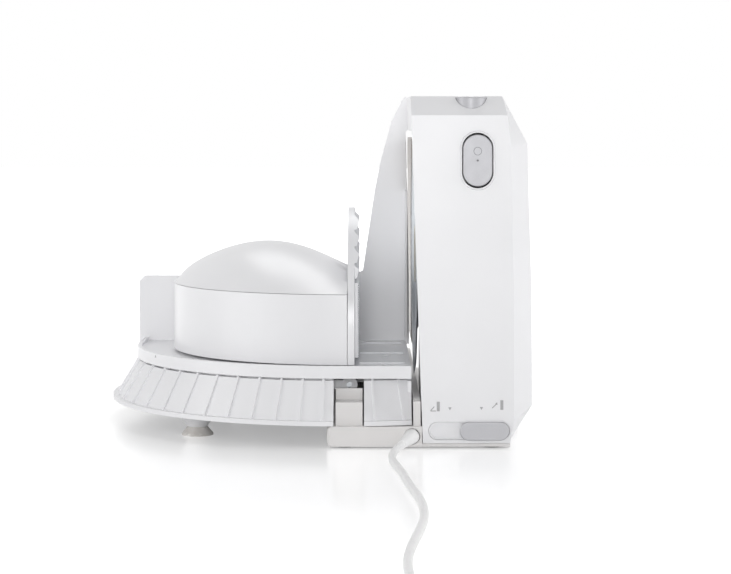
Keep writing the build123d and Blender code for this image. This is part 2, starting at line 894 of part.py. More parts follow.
# Blade with its gear and its lock
ring_face = blade_x - blade_lift
with BuildPart() as blade:
    with BuildSketch(Plane(origin=(blade_x, blade_y, blade_height), x_dir=(1, 0, 0), z_dir=(0, 1, 0))):
        Polygon(
            (-blade_lift, blade_radius),
            (-blade_lift, blade_ring_inner),
            (blade_dish - blade_lift, blade_dish_inner),
            (blade_dish - blade_lift, blade_bore),
            (blade_dish - blade_lift + blade_plate, blade_bore),
            (blade_dish - blade_lift + blade_plate, blade_dish_inner),
            (blade_plate - blade_lift, blade_ring_inner),
            (blade_plate - blade_lift, blade_radius - blade_bevel),
            (blade_edge - blade_lift, blade_radius),
            align=None,
        )
    revolve(axis=Axis((blade_x, blade_y, blade_height), (1, 0, 0)))
blade.part.label = "blade"

hub_face = blade_dish - blade_lift + rod_play
with BuildPart() as blade_gear:
    gear(blade_teeth, blade_y, blade_height, mesh_phase(blade_teeth, idler_turn), gear_start, gear_width)
    rod(blade_dish - blade_lift + blade_plate, blade_y, blade_height, hub_radius, gear_start + wall)
    rod(hub_face, blade_y, blade_height, blade_bore - running_fit, gear_start)
    rod(
        hub_face + lock_stub + wall, blade_y, blade_height, spindle_radius + running_fit, body_width,
        Mode.SUBTRACT,
    )
    rod(
        hub_face - overrun, blade_y, blade_height, lock_stub + rod_play,
        overrun + lock_stub + rod_play, Mode.SUBTRACT,
    )
blade_gear.part.label = "blade_gear"

with BuildPart() as blade_lock:
    rod(hub_face - rod_play * 2 - lock_thick, blade_y, blade_height, lock_radius, lock_thick)
    rod(hub_face - rod_play * 2, blade_y, blade_height, lock_stub, lock_stub)
    with Locations((hub_face + blade_x - rod_play * 2 - lock_thick, blade_y, blade_height)):
        Box(lock_slot_depth * 2, lock_slot, lock_radius, mode=Mode.SUBTRACT)
blade_lock.part.label = "blade_lock"

spindle_start = hub_face + lock_stub + wall + seat
with BuildPart() as blade_spindle:
    rod(spindle_start, blade_y, blade_height, spindle_radius, carrier_start + deck - spindle_start)
blade_spindle.part.label = "blade_spindle"

with BuildPart() as idler_shaft:
    rod(bay_left + wall, idler_y, idler_z, idler_radius, carrier_start + deck - bay_left - wall)
idler_shaft.part.label = "idler_shaft"

back_to_blade = mesh_phase(small_teeth, idler_turn + half_turn) + 0.5
on_to_motor = mesh_phase(large_teeth, motor_turn)
with BuildPart() as idler_gear:
    gear(small_teeth, idler_y, idler_z, back_to_blade, gear_start - gap, second_start - gear_start + gap)
    gear(large_teeth, idler_y, idler_z, on_to_motor, second_start, second_width)
    rod(second_start, idler_y, idler_z, idler_hub, second_width + deck / 2 - seat)
    rod(0, idler_y, idler_z, idler_radius + running_fit, body_width, Mode.SUBTRACT)
idler_gear.part.label = "idler_gear"

# Motor: armature that turns, and the stator, coils, brushes and bracket around it
with BuildPart() as armature_shaft:
    rod(shaft_start, motor_y, motor_z, shaft_radius, shaft_end - shaft_start)
armature_shaft.part.label = "armature_shaft"

fit_on_shaft = shaft_radius + running_fit / 2
with BuildPart() as motor_pinion:
    gear(
        pinion_teeth, motor_y, motor_z, mesh_phase(pinion_teeth, motor_turn + half_turn) + 0.5,
        second_start - gap, second_width + gap * 2,
    )
    rod(0, motor_y, motor_z, fit_on_shaft, body_width, Mode.SUBTRACT)
motor_pinion.part.label = "motor_pinion"

with BuildPart() as armature_core:
    rod(core_start, motor_y, motor_z, core_radius, core_length)
    with BuildSketch(Plane.YZ.offset(blade_x + core_start - overrun)) as slots:
        with Locations((motor_y, motor_z)):
            with PolarLocations(core_radius, core_slots):
                Rectangle(core_slot_depth * 2, core_slot_width)
    extrude(slots.sketch, amount=core_length + overrun * 2, mode=Mode.SUBTRACT)
    rod(0, motor_y, motor_z, fit_on_shaft, body_width, Mode.SUBTRACT)
armature_core.part.label = "armature_core"

with BuildPart() as commutator:
    rod(commutator_start, motor_y, motor_z, commutator_radius, commutator_length)
    rod(0, motor_y, motor_z, fit_on_shaft, body_width, Mode.SUBTRACT)
commutator.part.label = "commutator"

with BuildPart() as cooling_fan:
    rod(fan_start, motor_y, motor_z, fan_radius, fan_disc)
    rod(fan_start, motor_y, motor_z, fan_hub, fan_length)
    with BuildSketch(Plane.YZ.offset(blade_x + fan_start)) as fan_vanes:
        with Locations((motor_y, motor_z)):
            with PolarLocations((fan_radius + fan_hub) / 2, fan_blades):
                Rectangle(fan_radius - fan_hub + fan_disc, fan_blade_thick)
    extrude(fan_vanes.sketch, amount=fan_length)
    rod(0, motor_y, motor_z, fit_on_shaft, body_width * 2, Mode.SUBTRACT)
cooling_fan.part.label = "cooling_fan"

with BuildPart() as motor_stator:
    rod(stator_start, motor_y, motor_z, stator_radius, stator_length)
    rod(0, motor_y, motor_z, stator_bore, body_width, Mode.SUBTRACT)
    with BuildSketch(Plane.YZ.offset(blade_x + stator_start)) as poles:
        with Locations((motor_y, motor_z)):
            Circle(stator_bore + pole_gap)
            Circle(core_radius + pole_gap, mode=Mode.SUBTRACT)
            with PolarLocations(stator_bore, 2, start_angle=90):
                Rectangle(core_radius * 2, core_radius, mode=Mode.SUBTRACT)
    extrude(poles.sketch, amount=stator_length)
motor_stator.part.label = "motor_stator"

with BuildPart() as field_coils:
    for start in (stator_start - coil_thick - seat, stator_start + stator_length + seat):
        with BuildSketch(Plane.YZ.offset(blade_x + start)) as ends:
            with Locations((motor_y, motor_z)):
                Circle(coil_outer)
                Circle(coil_inner, mode=Mode.SUBTRACT)
                with PolarLocations(coil_outer, 2, start_angle=90):
                    Rectangle(core_radius, core_radius, mode=Mode.SUBTRACT)
        extrude(ends.sketch, amount=coil_thick)
field_coils.part.label = "field_coils"

with BuildPart() as motor_bracket:
    block(
        (blade_x + bracket_start, motor_y - stator_radius - bracket_arm - gap, motor_z - bracket_width / 2),
        (
            blade_x + bracket_start + deck,
            motor_y + stator_radius + bracket_arm + gap,
            motor_z + bracket_width / 2,
        ),
    )
    for side in (-1, 1):
        inner = motor_y + side * (stator_radius + gap)
        outer = inner + side * bracket_arm
        block(
            (blade_x + carrier_start + deck, min(inner, outer), motor_z - bracket_width / 2),
            (blade_x + bracket_start + deck, max(inner, outer), motor_z + bracket_width / 2),
        )
    rod(bracket_start - overrun, motor_y, motor_z, bush_radius + running_fit, overrun * 3, Mode.SUBTRACT)
motor_bracket.part.label = "motor_bracket"

with BuildPart() as motor_bearings:
    for start in (carrier_start, bracket_start):
        rod(start - bush_overhang, motor_y, motor_z, bush_radius, deck + bush_overhang * 2)
    rod(0, motor_y, motor_z, shaft_radius + running_fit, body_width, Mode.SUBTRACT)
motor_bearings.part.label = "motor_bearings"

holder_start = carrier_start + deck
holder_length_all = commutator_start + commutator_length - holder_start
with BuildPart() as brush_holders:
    for side in (-1, 1):
        middle = motor_z + side * (commutator_radius + seat + brush_length / 2 + wall)
        block(
            (blade_x + holder_start, motor_y - brush_width / 2 - holder_wall, middle - holder_length / 2),
            (
                blade_x + holder_start + holder_length_all,
                motor_y + brush_width / 2 + holder_wall,
                middle + holder_length / 2,
            ),
        )
    for side in (-1, 1):
        middle = motor_z + side * (commutator_radius + seat + brush_length / 2)
        block(
            (blade_x + commutator_start - seat, motor_y - brush_width / 2 - rod_play, middle - brush_length),
            (
                blade_x + commutator_start + brush_width + rod_play,
                motor_y + brush_width / 2 + rod_play,
                middle + brush_length,
            ),
            Mode.SUBTRACT,
        )
brush_holders.part.label = "brush_holders"

with BuildPart() as carbon_brushes:
    for side in (-1, 1):
        middle = motor_z + side * (commutator_radius + seat + brush_length / 2)
        block(
            (blade_x + commutator_start, motor_y - brush_width / 2, middle - brush_length / 2),
            (blade_x + commutator_start + brush_width, motor_y + brush_width / 2, middle + brush_length / 2),
        )
carbon_brushes.part.label = "carbon_brushes"

with BuildPart() as gearbox_plate:
    block(
        (blade_x + carrier_start, front_y + carrier_inset, carrier_bottom),
        (blade_x + carrier_start + deck, bay_back - wall - gap * 2, carrier_top),
    )
    fillet(gearbox_plate.edges().filter_by(Axis.X), radius=post_radius)
    for y, z in posts:
        rod(carrier_start - overrun, y, z, post_radius + rod_play, overrun * 3, Mode.SUBTRACT)
    rod(
        carrier_start - overrun, blade_y, blade_height, spindle_radius + fixed_play, overrun * 3,
        Mode.SUBTRACT,
    )
    rod(carrier_start - overrun, idler_y, idler_z, idler_radius + fixed_play, overrun * 3, Mode.SUBTRACT)
    rod(carrier_start - overrun, motor_y, motor_z, bush_radius + running_fit, overrun * 3, Mode.SUBTRACT)
gearbox_plate.part.label = "gearbox_plate"


# Stop plate, its carrier, and the frame and knob that set the slice thickness
plate_face = -blade_lift
guard_radius = blade_radius + guard_inner + guard_thick
guard_tip = blade_height + blade_radius * sin(radians(guard_low))
with BuildPart() as stop_plate:
    with BuildSketch(Plane.YZ.offset(blade_x + plate_face)) as plate_outline:
        with Locations((front_y + (plate_front_reach + plate_back) / 2, (plate_bottom + plate_top) / 2)):
            RectangleRounded(plate_back - plate_front_reach, plate_top - plate_bottom, plate_corner)
        with Locations((front_y + plate_front_reach, (plate_bottom + plate_top) / 2)):
            Rectangle(plate_corner * 2, plate_top - plate_bottom)
        with Locations((blade_y, blade_height)):
            Circle(blade_radius + edge_gap, mode=Mode.SUBTRACT)
    extrude(plate_outline.sketch, amount=plate_thick)
    with BuildSketch(Plane.YZ.offset(blade_x + plate_face)) as guard_room:
        with Locations((blade_y, blade_height)):
            Circle(guard_radius + edge_gap)
        with Locations((blade_y, guard_tip - edge_gap)):
            Rectangle(body_depth, body_height, align=(Align.CENTER, Align.MIN), mode=Mode.INTERSECT)
    extrude(guard_room.sketch, amount=plate_thick, mode=Mode.SUBTRACT)
stop_plate.part.label = "stop_plate"

rods = [
    (front_y + block_front + (block_back - block_front) * along, block_low + (block_high - block_low) * up)
    for along, up in ((rod_low_share, rod_low_share), (rod_high_share, rod_high_share))
]
back_of_plate = plate_face + plate_thick
with BuildPart() as stop_plate_carrier:
    block(
        (blade_x + back_of_plate, front_y + block_front, block_low),
        (blade_x + back_of_plate + carrier_block, front_y + block_back, block_high),
    )
    fillet(stop_plate_carrier.edges().filter_by(Axis.X), radius=rod_radius * 2)
    with BuildSketch(Plane.YZ.offset(blade_x + back_of_plate + deck)) as pockets:
        for along in (-1, 1):
            with Locations((front_y + screw_y + along * pocket_spread, screw_z)):
                Rectangle(pocket_width, (block_high - block_low) * rod_high_share)
    extrude(pockets.sketch, amount=body_width, mode=Mode.SUBTRACT)
    rod(back_of_plate, front_y + screw_y, screw_z, nut_radius, nut_reach - back_of_plate)
    rod(
        back_of_plate - overrun, front_y + screw_y, screw_z, thickness_radius + nut_play, body_width,
        Mode.SUBTRACT,
    )
    for y, z in rods:
        rod(back_of_plate - overrun, y, z, rod_radius + fixed_play, body_width, Mode.SUBTRACT)
stop_plate_carrier.part.label = "stop_plate_carrier"

with BuildPart() as guide_rods:
    for y, z in rods:
        rod(back_of_plate, y, z, rod_radius, rod_reach)
guide_rods.part.label = "guide_rods"

frame_middle_y = front_y + (frame_front + frame_back) / 2
frame_length = frame_back - frame_front
with BuildPart() as stop_plate_frame:
    with BuildSketch(Plane.YZ.offset(blade_x + frame_start)) as side:
        with Locations((frame_middle_y, base_top + seat)):
            Rectangle(frame_length, frame_top - base_top - seat, align=(Align.CENTER, Align.MIN))
        fillet(side.vertices().group_by(Axis.Y)[-1], radius=frame_corner)
    extrude(side.sketch, amount=frame_end - frame_start)
    with BuildSketch(Plane.YZ.offset(blade_x + frame_start + wall)) as hollow:
        with Locations((frame_middle_y, base_top + seat - overrun)):
            Rectangle(
                frame_length - wall * 2, frame_top - base_top - seat - wall + overrun,
                align=(Align.CENTER, Align.MIN),
            )
        fillet(hollow.vertices().group_by(Axis.Y)[-1], radius=frame_corner - wall)
    extrude(hollow.sketch, amount=frame_end - frame_start - wall * 2, mode=Mode.SUBTRACT)
    for y, z in rods:
        rod(frame_start, y, z, rod_radius + sleeve_wall, sleeve_length)
        rod(frame_start - overrun, y, z, rod_radius + running_fit, sleeve_length + overrun * 2, Mode.SUBTRACT)
    rod(
        frame_start - overrun, front_y + screw_y, screw_z, nut_radius + gap, wall + overrun * 2,
        Mode.SUBTRACT,
    )
    rod(
        frame_end - wall - overrun, front_y + screw_y, screw_z, thickness_radius + running_fit,
        wall + overrun * 2, Mode.SUBTRACT,
    )
    for x, y in frame_lugs:
        block(
            (blade_x + frame_start + wall / 2, y - lug_radius, base_top + seat),
            (blade_x + frame_end - wall / 2, y + lug_radius, base_top + seat + frame_flange),
        )
        post(x, y, base_top, base_top + seat + frame_flange + overrun, post_hole, Mode.SUBTRACT)
stop_plate_frame.part.label = "stop_plate_frame"

with BuildPart() as thickness_screw:
    rod(thickness_start, front_y + screw_y, screw_z, thickness_radius, knob_start - thickness_start)
    rod(
        frame_end - wall * 2 - seat, front_y + screw_y, screw_z, thickness_radius + wall, wall,
    )
thickness_screw.part.label = "thickness_screw"

with BuildPart() as thickness_knob:
    rod(knob_start, front_y + screw_y, screw_z, knob_radius, knob_length)
    fillet(thickness_knob.faces().sort_by(Axis.X)[-1].edges(), radius=wall)
    with BuildSketch(Plane.YZ.offset(blade_x + knob_start + deck)) as flutes:
        with Locations((front_y + screw_y, screw_z)):
            with PolarLocations(knob_radius + flute_radius / 2, knob_flutes):
                Circle(flute_radius)
    extrude(flutes.sketch, amount=knob_length, mode=Mode.SUBTRACT)
    pointer_z = screw_z + knob_radius - pointer_length
    with Locations((blade_x + knob_start + knob_length, front_y + screw_y, pointer_z)):
        Box(pointer_proud, pointer_width, pointer_length)
thickness_knob.part.label = "thickness_knob"

with BuildPart() as blade_guard_arc:
    rod(guard_start, blade_y, blade_height, guard_radius, guard_width)
    rod(guard_start - overrun, blade_y, blade_height, blade_radius + guard_inner, body_width, Mode.SUBTRACT)
    block(
        (blade_x - overrun, bay_back + gap / 2, guard_tip),
        (blade_x + body_width, back_y, body_height),
        Mode.INTERSECT,
    )
blade_guard_arc.part.label = "blade_guard_arc"


def rim_shell():
    """Whole round of the table: deck, sloping skirt with ribs, and rim."""
    deck_radius = table_radius - skirt_run
    with BuildPart() as round_table:
        with BuildSketch(Plane(origin=(table_x, 0, 0), x_dir=(1, 0, 0), z_dir=(0, -1, 0))):
            Polygon(
                (0, table_top),
                (deck_radius - rebate_width, table_top),
                (deck_radius - rebate_width, table_top - rebate_depth),
                (deck_radius, table_top - rebate_depth),
                (table_radius - rim_width, table_rim_bottom + rim_height),
                (table_radius, table_rim_bottom + rim_height),
                (table_radius, table_rim_bottom),
                (table_radius - rim_width - wall, table_rim_bottom),
                (deck_radius - wall, table_top - deck),
                (0, table_top - deck),
                align=None,
            )
        revolve(axis=Axis((table_x, 0, 0), (0, 0, 1)))
        spread = [rib_first + rib_step * count + rib_spread * count * count for count in range(rib_count)]
        left_ribs = [side * (half_turn / 2 + angle) for side in (-1, 1) for angle in spread]
        right_ribs = [side * (half_turn / 2 - angle) for side in (-1, 1) for angle in strip_rib_angles]
        for angle in left_ribs + right_ribs:
            way = Vector(cos(radians(angle)), sin(radians(angle)), 0)
            across = way.cross(Vector(0, 0, 1))
            with BuildSketch(Plane(origin=(table_x, 0, 0), x_dir=way, z_dir=across)) as rib:
                Polygon(
                    (deck_radius - rim_width, table_top - deck / 2),
                    (deck_radius - rim_width, table_top + seat / 2),
                    (deck_radius + rib_proud / 2, table_top + seat / 2),
                    (table_radius - rim_width + rib_proud, table_rim_bottom + rim_height + rib_proud),
                    (table_radius - rim_width + rib_proud, table_rim_bottom + rim_height / 2),
                    (table_radius - rim_width - wall / 2, table_rim_bottom + rim_height / 2),
                    (deck_radius - wall / 2, table_top - deck / 2),
                    align=None,
                )
            extrude(rib.sketch, amount=rib_thick / 2, both=True)
    return round_table.part


# Folding table, the fixed strip beside the blade and their hinge
round_table = rim_shell()
hinge_line = blade_x - hinge_x
knuckle_pitch = -2 * (front_y + hinge_front) / knuckle_count


def knuckle(number, web_end):
    """One hinge knuckle with its web, counted from the front."""
    start = front_y + hinge_front + knuckle_pitch * number + gap / 2
    with BuildSketch(front_plane(start - front_y)) as barrel:
        with Locations((hinge_line, hinge_z)):
            Circle(hinge_radius)
    extrude(barrel.sketch, amount=gap - knuckle_pitch)
    block(
        (min(hinge_line, web_end), start, hinge_z - web_thick / 2),
        (max(hinge_line, web_end), start + knuckle_pitch - gap, hinge_z + web_thick / 2),
    )


def hinge_bore():
    """Hole for the hinge pin, right through."""
    with BuildSketch(front_plane(-overrun)) as bore:
        with Locations((hinge_line, hinge_z)):
            Circle(pin_radius + running_fit)
    extrude(bore.sketch, amount=-body_depth - overrun * 2, mode=Mode.SUBTRACT)


stem_x = blade_x - table_foot_x
stem_places = [(stem_x, side * (body_depth / 2 - table_foot_inset)) for side in (-1, 1)]
with BuildPart() as folding_table:
    add(round_table)
    split(bisect_by=Plane.YZ.offset(blade_x - table_edge), keep=Keep.BOTTOM)
    inner_rim = table_radius - skirt_run - wall
    block(
        (blade_x - table_edge - wall, -inner_rim, table_top - deck - stiffener_low / 2),
        (blade_x - table_edge, inner_rim, table_top - deck / 2),
    )
    block(
        (blade_x - table_spine, -inner_rim * rod_high_share, stiffener_low),
        (blade_x - table_spine + stiffener_thick, inner_rim * rod_high_share, table_top - deck / 2),
    )
    for count in range(stiffener_count):
        y = inner_rim * ((count + 1 / 2) / stiffener_count * 2 - 1) * rod_high_share
        reach = sqrt(inner_rim * inner_rim - y * y)
        block(
            (table_x - reach, y, stiffener_low),
            (blade_x - table_edge, y + stiffener_thick, table_top - deck / 2),
        )
    for number in range(0, knuckle_count, 2):
        knuckle(number, blade_x - table_edge - wall / 2)
    hinge_bore()
    for x, y in stem_places:
        post(x, y, stiffener_low + seat, table_top - deck + seat, stem_peg_radius + stiffener_thick)
        post(x, y, stiffener_low - overrun, table_top - deck, stem_peg_radius + rod_play, Mode.SUBTRACT)
folding_table.part.label = "folding_table"

with BuildPart() as fixed_table_segment:
    add(round_table)
    split(bisect_by=Plane.YZ.offset(blade_x - strip_left), keep=Keep.TOP)
    split(bisect_by=Plane.YZ.offset(blade_x - strip_right), keep=Keep.BOTTOM)
    for low, high in ((strip_left, strip_left - wall), (strip_right + wall, strip_right)):
        block(
            (blade_x - low, -inner_rim, base_top + seat),
            (blade_x - high, inner_rim, table_top - deck / 2),
        )
    for number in range(1, knuckle_count, 2):
        knuckle(number, blade_x - strip_left + wall / 2)
    hinge_bore()
    block(
        (blade_x - track_x - track_width / 2, front_y + track_inset, table_top - deck - overrun),
        (blade_x - track_x + track_width / 2, back_y - track_inset, table_top + overrun),
        Mode.SUBTRACT,
    )
fixed_table_segment.part.label = "fixed_table_segment"

with BuildPart() as hinge_pin:
    with BuildSketch(front_plane(hinge_front)):
        with Locations((hinge_line, hinge_z)):
            Circle(pin_radius)
    extrude(amount=2 * (front_y + hinge_front))
hinge_pin.part.label = "hinge_pin"

with BuildPart() as foot_stems:
    for x, y in stem_places:
        with BuildSketch(Plane(origin=(x, y, 0), x_dir=(1, 0, 0), z_dir=(0, -1, 0))):
            Polygon(
                (0, stem_low),
                (stem_low_radius, stem_low),
                (collar_radius, collar_low),
                (collar_radius, collar_high),
                (stem_high_radius, collar_high + collar_radius - stem_high_radius),
                (stem_high_radius, stiffener_low),
                (stem_peg_radius, stiffener_low),
                (stem_peg_radius, stem_peg_top),
                (0, stem_peg_top),
                align=None,
            )
        revolve(axis=Axis((x, y, 0), (0, 0, 1)))
foot_stems.part.label = "foot_stems"

with BuildPart() as suction_feet:
    for x, y in stem_places:
        with BuildSketch(Plane(origin=(x, y, 0), x_dir=(1, 0, 0), z_dir=(0, -1, 0))):
            Polygon(
                (0, stem_low),
                (stem_low_radius, stem_low),
                (stem_low_radius + cup_lip, cup_height - cup_lip),
                (cup_radius, cup_lip),
                (cup_radius, 0),
                (cup_radius - cup_lip, 0),
                (stem_low_radius, cup_hollow),
                (0, cup_hollow),
                align=None,
            )
        revolve(axis=Axis((x, y, 0), (0, 0, 1)))
suction_feet.part.label = "suction_feet"

# Shoe that runs in the track, and the carriage that stands on it
track_middle = blade_x - track_x
shoe_back = front_y + shoe_front + shoe_length
pegs = [front_y + shoe_front + peg_inset, shoe_back - peg_inset]
with BuildPart() as carriage_shoe:
    for width, low, high in (
        (shoe_foot_width, table_top - deck - gap - shoe_foot_thick, table_top - deck - gap),
        (track_width - gap * 2, table_top - deck - gap, table_top + gap),
        (shoe_head_width, table_top + gap, shoe_head_top),
    ):
        block(
            (track_middle - width / 2, front_y + shoe_front, low),
            (track_middle + width / 2, shoe_back, high),
        )
    for y in pegs:
        post(track_middle, y, shoe_head_top, shoe_head_top + peg_height, peg_radius)
carriage_shoe.part.label = "carriage_shoe"


def carriage_plan(height, inset, right, back):
    """Plan of the carriage: quarter round at the front left, straight behind and beside."""
    radius = carriage_radius - inset
    with BuildSketch(Plane.XY.offset(height)) as plan:
        with BuildLine():
            Line((table_x, -radius), (right, -radius))
            Line((right, -radius), (right, back))
            Line((right, back), (table_x - radius, back))
            Line((table_x - radius, back), (table_x - radius, 0))
            RadiusArc((table_x - radius, 0), (table_x, -radius), -radius)
        make_face()
    return plan.sketch


carriage_edge = blade_x - carriage_right
whole_plan = carriage_plan(lip_bottom, 0, carriage_edge, carriage_back_y)
above_floor = carriage_plan(
    floor_bottom + floor_thick, lip_wall, carriage_edge + overrun, carriage_back_y + overrun
)
below_floor = carriage_plan(
    lip_bottom - overrun, lip_wall, carriage_edge + overrun, carriage_back_y + overrun
)
with BuildPart() as food_carriage:
    extrude(whole_plan, amount=lip_top - lip_bottom)
    extrude(above_floor, amount=lip_top, mode=Mode.SUBTRACT)
    extrude(below_floor, amount=floor_bottom - lip_bottom + overrun, mode=Mode.SUBTRACT)
    with BuildSketch(front_plane(carriage_back)) as back_outline:
        Polygon(
            (blade_x - back_wall_left, floor_bottom),
            (blade_x - back_wall_left, back_wall_top - back_wall_corner),
            (blade_x - back_wall_left + back_wall_corner, back_wall_top),
            *[(blade_x - left * guard_reach, up * body_height) for left, up in guard_outline_shares],
            (blade_x - guard_outline_shares[-1][0] * guard_reach, floor_bottom),
            align=None,
        )
    extrude(back_outline.sketch, amount=back_wall)
    block(
        (blade_x - flange_left, carriage_back_y - back_wall - flange_depth, floor_bottom + floor_thick / 2),
        (blade_x - flange_right, carriage_back_y - back_wall / 2, flange_top),
    )
    for back in floor_rib_shares:
        y = front_y + back * carriage_back
        block(
            (blade_x - floor_rib_left, y - floor_rib_width / 2, floor_bottom + floor_thick / 2),
            (
                blade_x - floor_rib_right,
                y + floor_rib_width / 2,
                floor_bottom + floor_thick + floor_rib_height,
            ),
        )
    for y in pegs:
        post(
            track_middle, y, floor_bottom - overrun, floor_bottom + overrun, peg_radius + peg_play,
            Mode.SUBTRACT,
        )
food_carriage.part.label = "food_carriage"

# Remnant holder: toothed plate, hollow body and domed cap
plate_left_x = blade_x - holder_plate_left
plate_right_x = blade_x - holder_plate_right
holder_width = holder_back - holder_front
with BuildPart() as pusher_plate:
    with BuildSketch(Plane.YZ.offset(plate_left_x)) as plate_side:
        with Locations((front_y + (holder_front + holder_back) / 2, holder_bottom)):
            Rectangle(holder_width, holder_top - holder_bottom, align=(Align.CENTER, Align.MIN))
        fillet(plate_side.vertices().group_by(Axis.Y)[-1], radius=holder_corner)
    extrude(plate_side.sketch, amount=plate_right_x - plate_left_x)
    with BuildSketch(front_plane(holder_front + tooth_inset)) as teeth_side:
        for row in range(tooth_rows):
            top = tooth_top_row - tooth_pitch * row
            Polygon(
                (plate_right_x - wall / 2, top),
                (plate_right_x, top),
                (plate_right_x + tooth_depth, top - tooth_pitch / 3),
                (plate_right_x + tooth_depth / 2, top - tooth_pitch * rod_high_share),
                (plate_right_x - wall / 2, top - tooth_pitch * rod_high_share),
                align=None,
            )
        ridge_points = [(plate_right_x - wall / 2, ridge_bottom)]
        for row in range(ridge_count):
            low = ridge_bottom + ridge_pitch * row
            ridge_points.append((plate_right_x + ridge_base, low))
            ridge_points.append((plate_right_x + ridge_base + ridge_depth, low + ridge_pitch / 2))
        top = ridge_bottom + ridge_pitch * ridge_count
        ridge_points += [(plate_right_x + ridge_base, top), (plate_right_x - wall / 2, top)]
        Polygon(*ridge_points, align=None)
    extrude(teeth_side.sketch, amount=tooth_inset * 2 - holder_width)
    extrude(plate_side.sketch, amount=plate_right_x - plate_left_x + tooth_depth * 2, mode=Mode.INTERSECT)
pusher_plate.part.label = "pusher_plate"

body_right_x = plate_left_x - seat
holder_back_y = front_y + holder_back
holder_middle_y = front_y + holder_middle


def holder_plan(height, inset):
    """Plan of the remnant holder's body: a quarter round at the front left, straight elsewhere."""
    left = body_right_x - holder_radius + inset
    front = holder_middle_y - holder_radius + inset
    back = holder_back_y - inset
    with BuildSketch(Plane.XY.offset(height)) as plan:
        with BuildLine():
            Line((body_right_x, front), (body_right_x, back))
            Line((body_right_x, back), (left, back))
            Line((left, back), (left, holder_middle_y))
            RadiusArc((left, holder_middle_y), (body_right_x, front), inset - holder_radius)
        make_face()
        with Locations((body_right_x - inset, back)):
            Rectangle(holder_radius, back - front, align=(Align.MAX, Align.MAX), mode=Mode.INTERSECT)
    return plan.sketch


outer_plan = holder_plan(holder_bottom, 0)
inner_plan = holder_plan(holder_bottom + wall, wall)
holder_screws = [
    (body_right_x - along * holder_radius, holder_middle_y - back * holder_radius / 2)
    for along, back in holder_screw_shares
]
with BuildPart() as pusher_body:
    extrude(outer_plan, amount=holder_joint - holder_bottom)
    extrude(inner_plan, amount=holder_joint, mode=Mode.SUBTRACT)
    block(
        (blade_x - hook_left, holder_back_y - wall / 2, holder_joint - wall * 2),
        (blade_x - hook_right, holder_back_y + seat + hook_thick, holder_joint),
    )
    block(
        (blade_x - hook_left, holder_back_y + seat, holder_joint - wall * 2),
        (blade_x - hook_right, holder_back_y + seat + hook_thick, back_wall_top + seat + hook_thick),
    )
    block(
        (blade_x - hook_left, holder_back_y + seat, back_wall_top + seat),
        (blade_x - hook_right, carriage_back_y + gap + hook_thick, back_wall_top + seat + hook_thick),
    )
    block(
        (blade_x - hook_left, carriage_back_y + gap, back_wall_top - hook_drop),
        (blade_x - hook_right, carriage_back_y + gap + hook_thick, back_wall_top + seat + hook_thick),
    )
    for x, y in holder_screws:
        post(x, y, holder_bottom + wall / 2, holder_joint - seat, post_radius)
        post(x, y, holder_bottom - overrun, holder_joint + overrun, post_hole, Mode.SUBTRACT)
pusher_body.part.label = "pusher_body"


def dome(inset):
    """Domed cap, lofted through upright arches from its left tip to the toothed plate."""
    with BuildPart() as arches:
        sections = []
        for along, rise in dome_tops_shares:
            across = sqrt(1 - along * along)
            front = holder_middle_y - holder_radius * across + inset
            back = holder_back_y - inset
            low = holder_joint + seat
            top = low + dome_height * rise - inset
            side = low + (top - low) * dome_back_share
            with BuildSketch(Plane.YZ.offset(body_right_x - holder_radius * along)) as arch:
                with BuildLine():
                    Line((back, side), (back, low))
                    Line((back, low), (front, low))
                    ThreePointArc((front, low), ((front + back) / 2, top), (back, side))
                make_face()
            sections.append(arch.sketch)
        loft(sections)
    return arches.part


outer_dome = dome(0)
inner_dome = dome(wall)
with BuildPart() as pusher_cap:
    add(outer_dome)
    add(inner_dome, mode=Mode.SUBTRACT)
pusher_cap.part.label = "pusher_cap"

with BuildPart() as pusher_screws:
    for x, y in holder_screws:
        post(x, y, holder_bottom + screw_head_height / 2, holder_bottom + screw_length, screw_shank)
pusher_screws.part.label = "pusher_screws"

# Strain relief and cord
exit_point = Vector(*cord_exit)
relief_way = (Vector(*cord_bends[0]) - exit_point).normalized()
relief_tip = exit_point + relief_way * relief_length
with BuildPart() as strain_relief:
    with BuildSketch(Plane(origin=exit_point, z_dir=relief_way)):
        Circle(relief_radius)
    with BuildSketch(Plane(origin=relief_tip, z_dir=relief_way)):
        Circle(cord_radius + relief_play)
    loft(ruled=True)
strain_relief.part.label = "strain_relief"


def cord_line(route):
    """Straight runs joined by the largest arcs that they allow."""
    corners = [Vector(*point) for point in route]
    radii = []
    for before, here, after in zip(corners, corners[1:], corners[2:]):
        turn = radians((here - before).get_angle(after - here))
        shorter = min((here - before).length, (after - here).length)
        radii.append(bend_share * shorter / tan(turn / 2))
    print("cord radii in mm:", [round(radius) for radius in radii])
    with BuildLine() as line:
        FilletPolyline(*route, radius=radii)
    return line.wire()


def print_volume(name, solid, path):
    """Compare a cord's volume with its section times its length."""
    share = solid.volume / (pi * cord_radius * cord_radius * path.length)
    print(name, "length:", round(path.length, 1), "volume share:", round(share, 4))


cord_path = cord_line([tuple(relief_tip)] + cord_bends)
with BuildPart() as cord_tube:
    with BuildSketch(Plane(origin=cord_path @ 0, z_dir=cord_path % 0)):
        Circle(cord_radius)
    sweep(path=cord_path)
cord_tube.part.label = "cord_tube"
print_volume("cord tube", cord_tube.part, cord_path)

# Spare cord in a flat coil of two layers, wound inward below and outward above
coil_pitch = cord_diameter + coil_gap
coil_start = Vector(*cord_bends[-1])
coil_middle = coil_start + Vector(-coil_radius, -cord_diameter, 0)
turns_before_climb = coil_turns_down - climb_turns / 2
turns_in_all = coil_turns_down + coil_turns_up


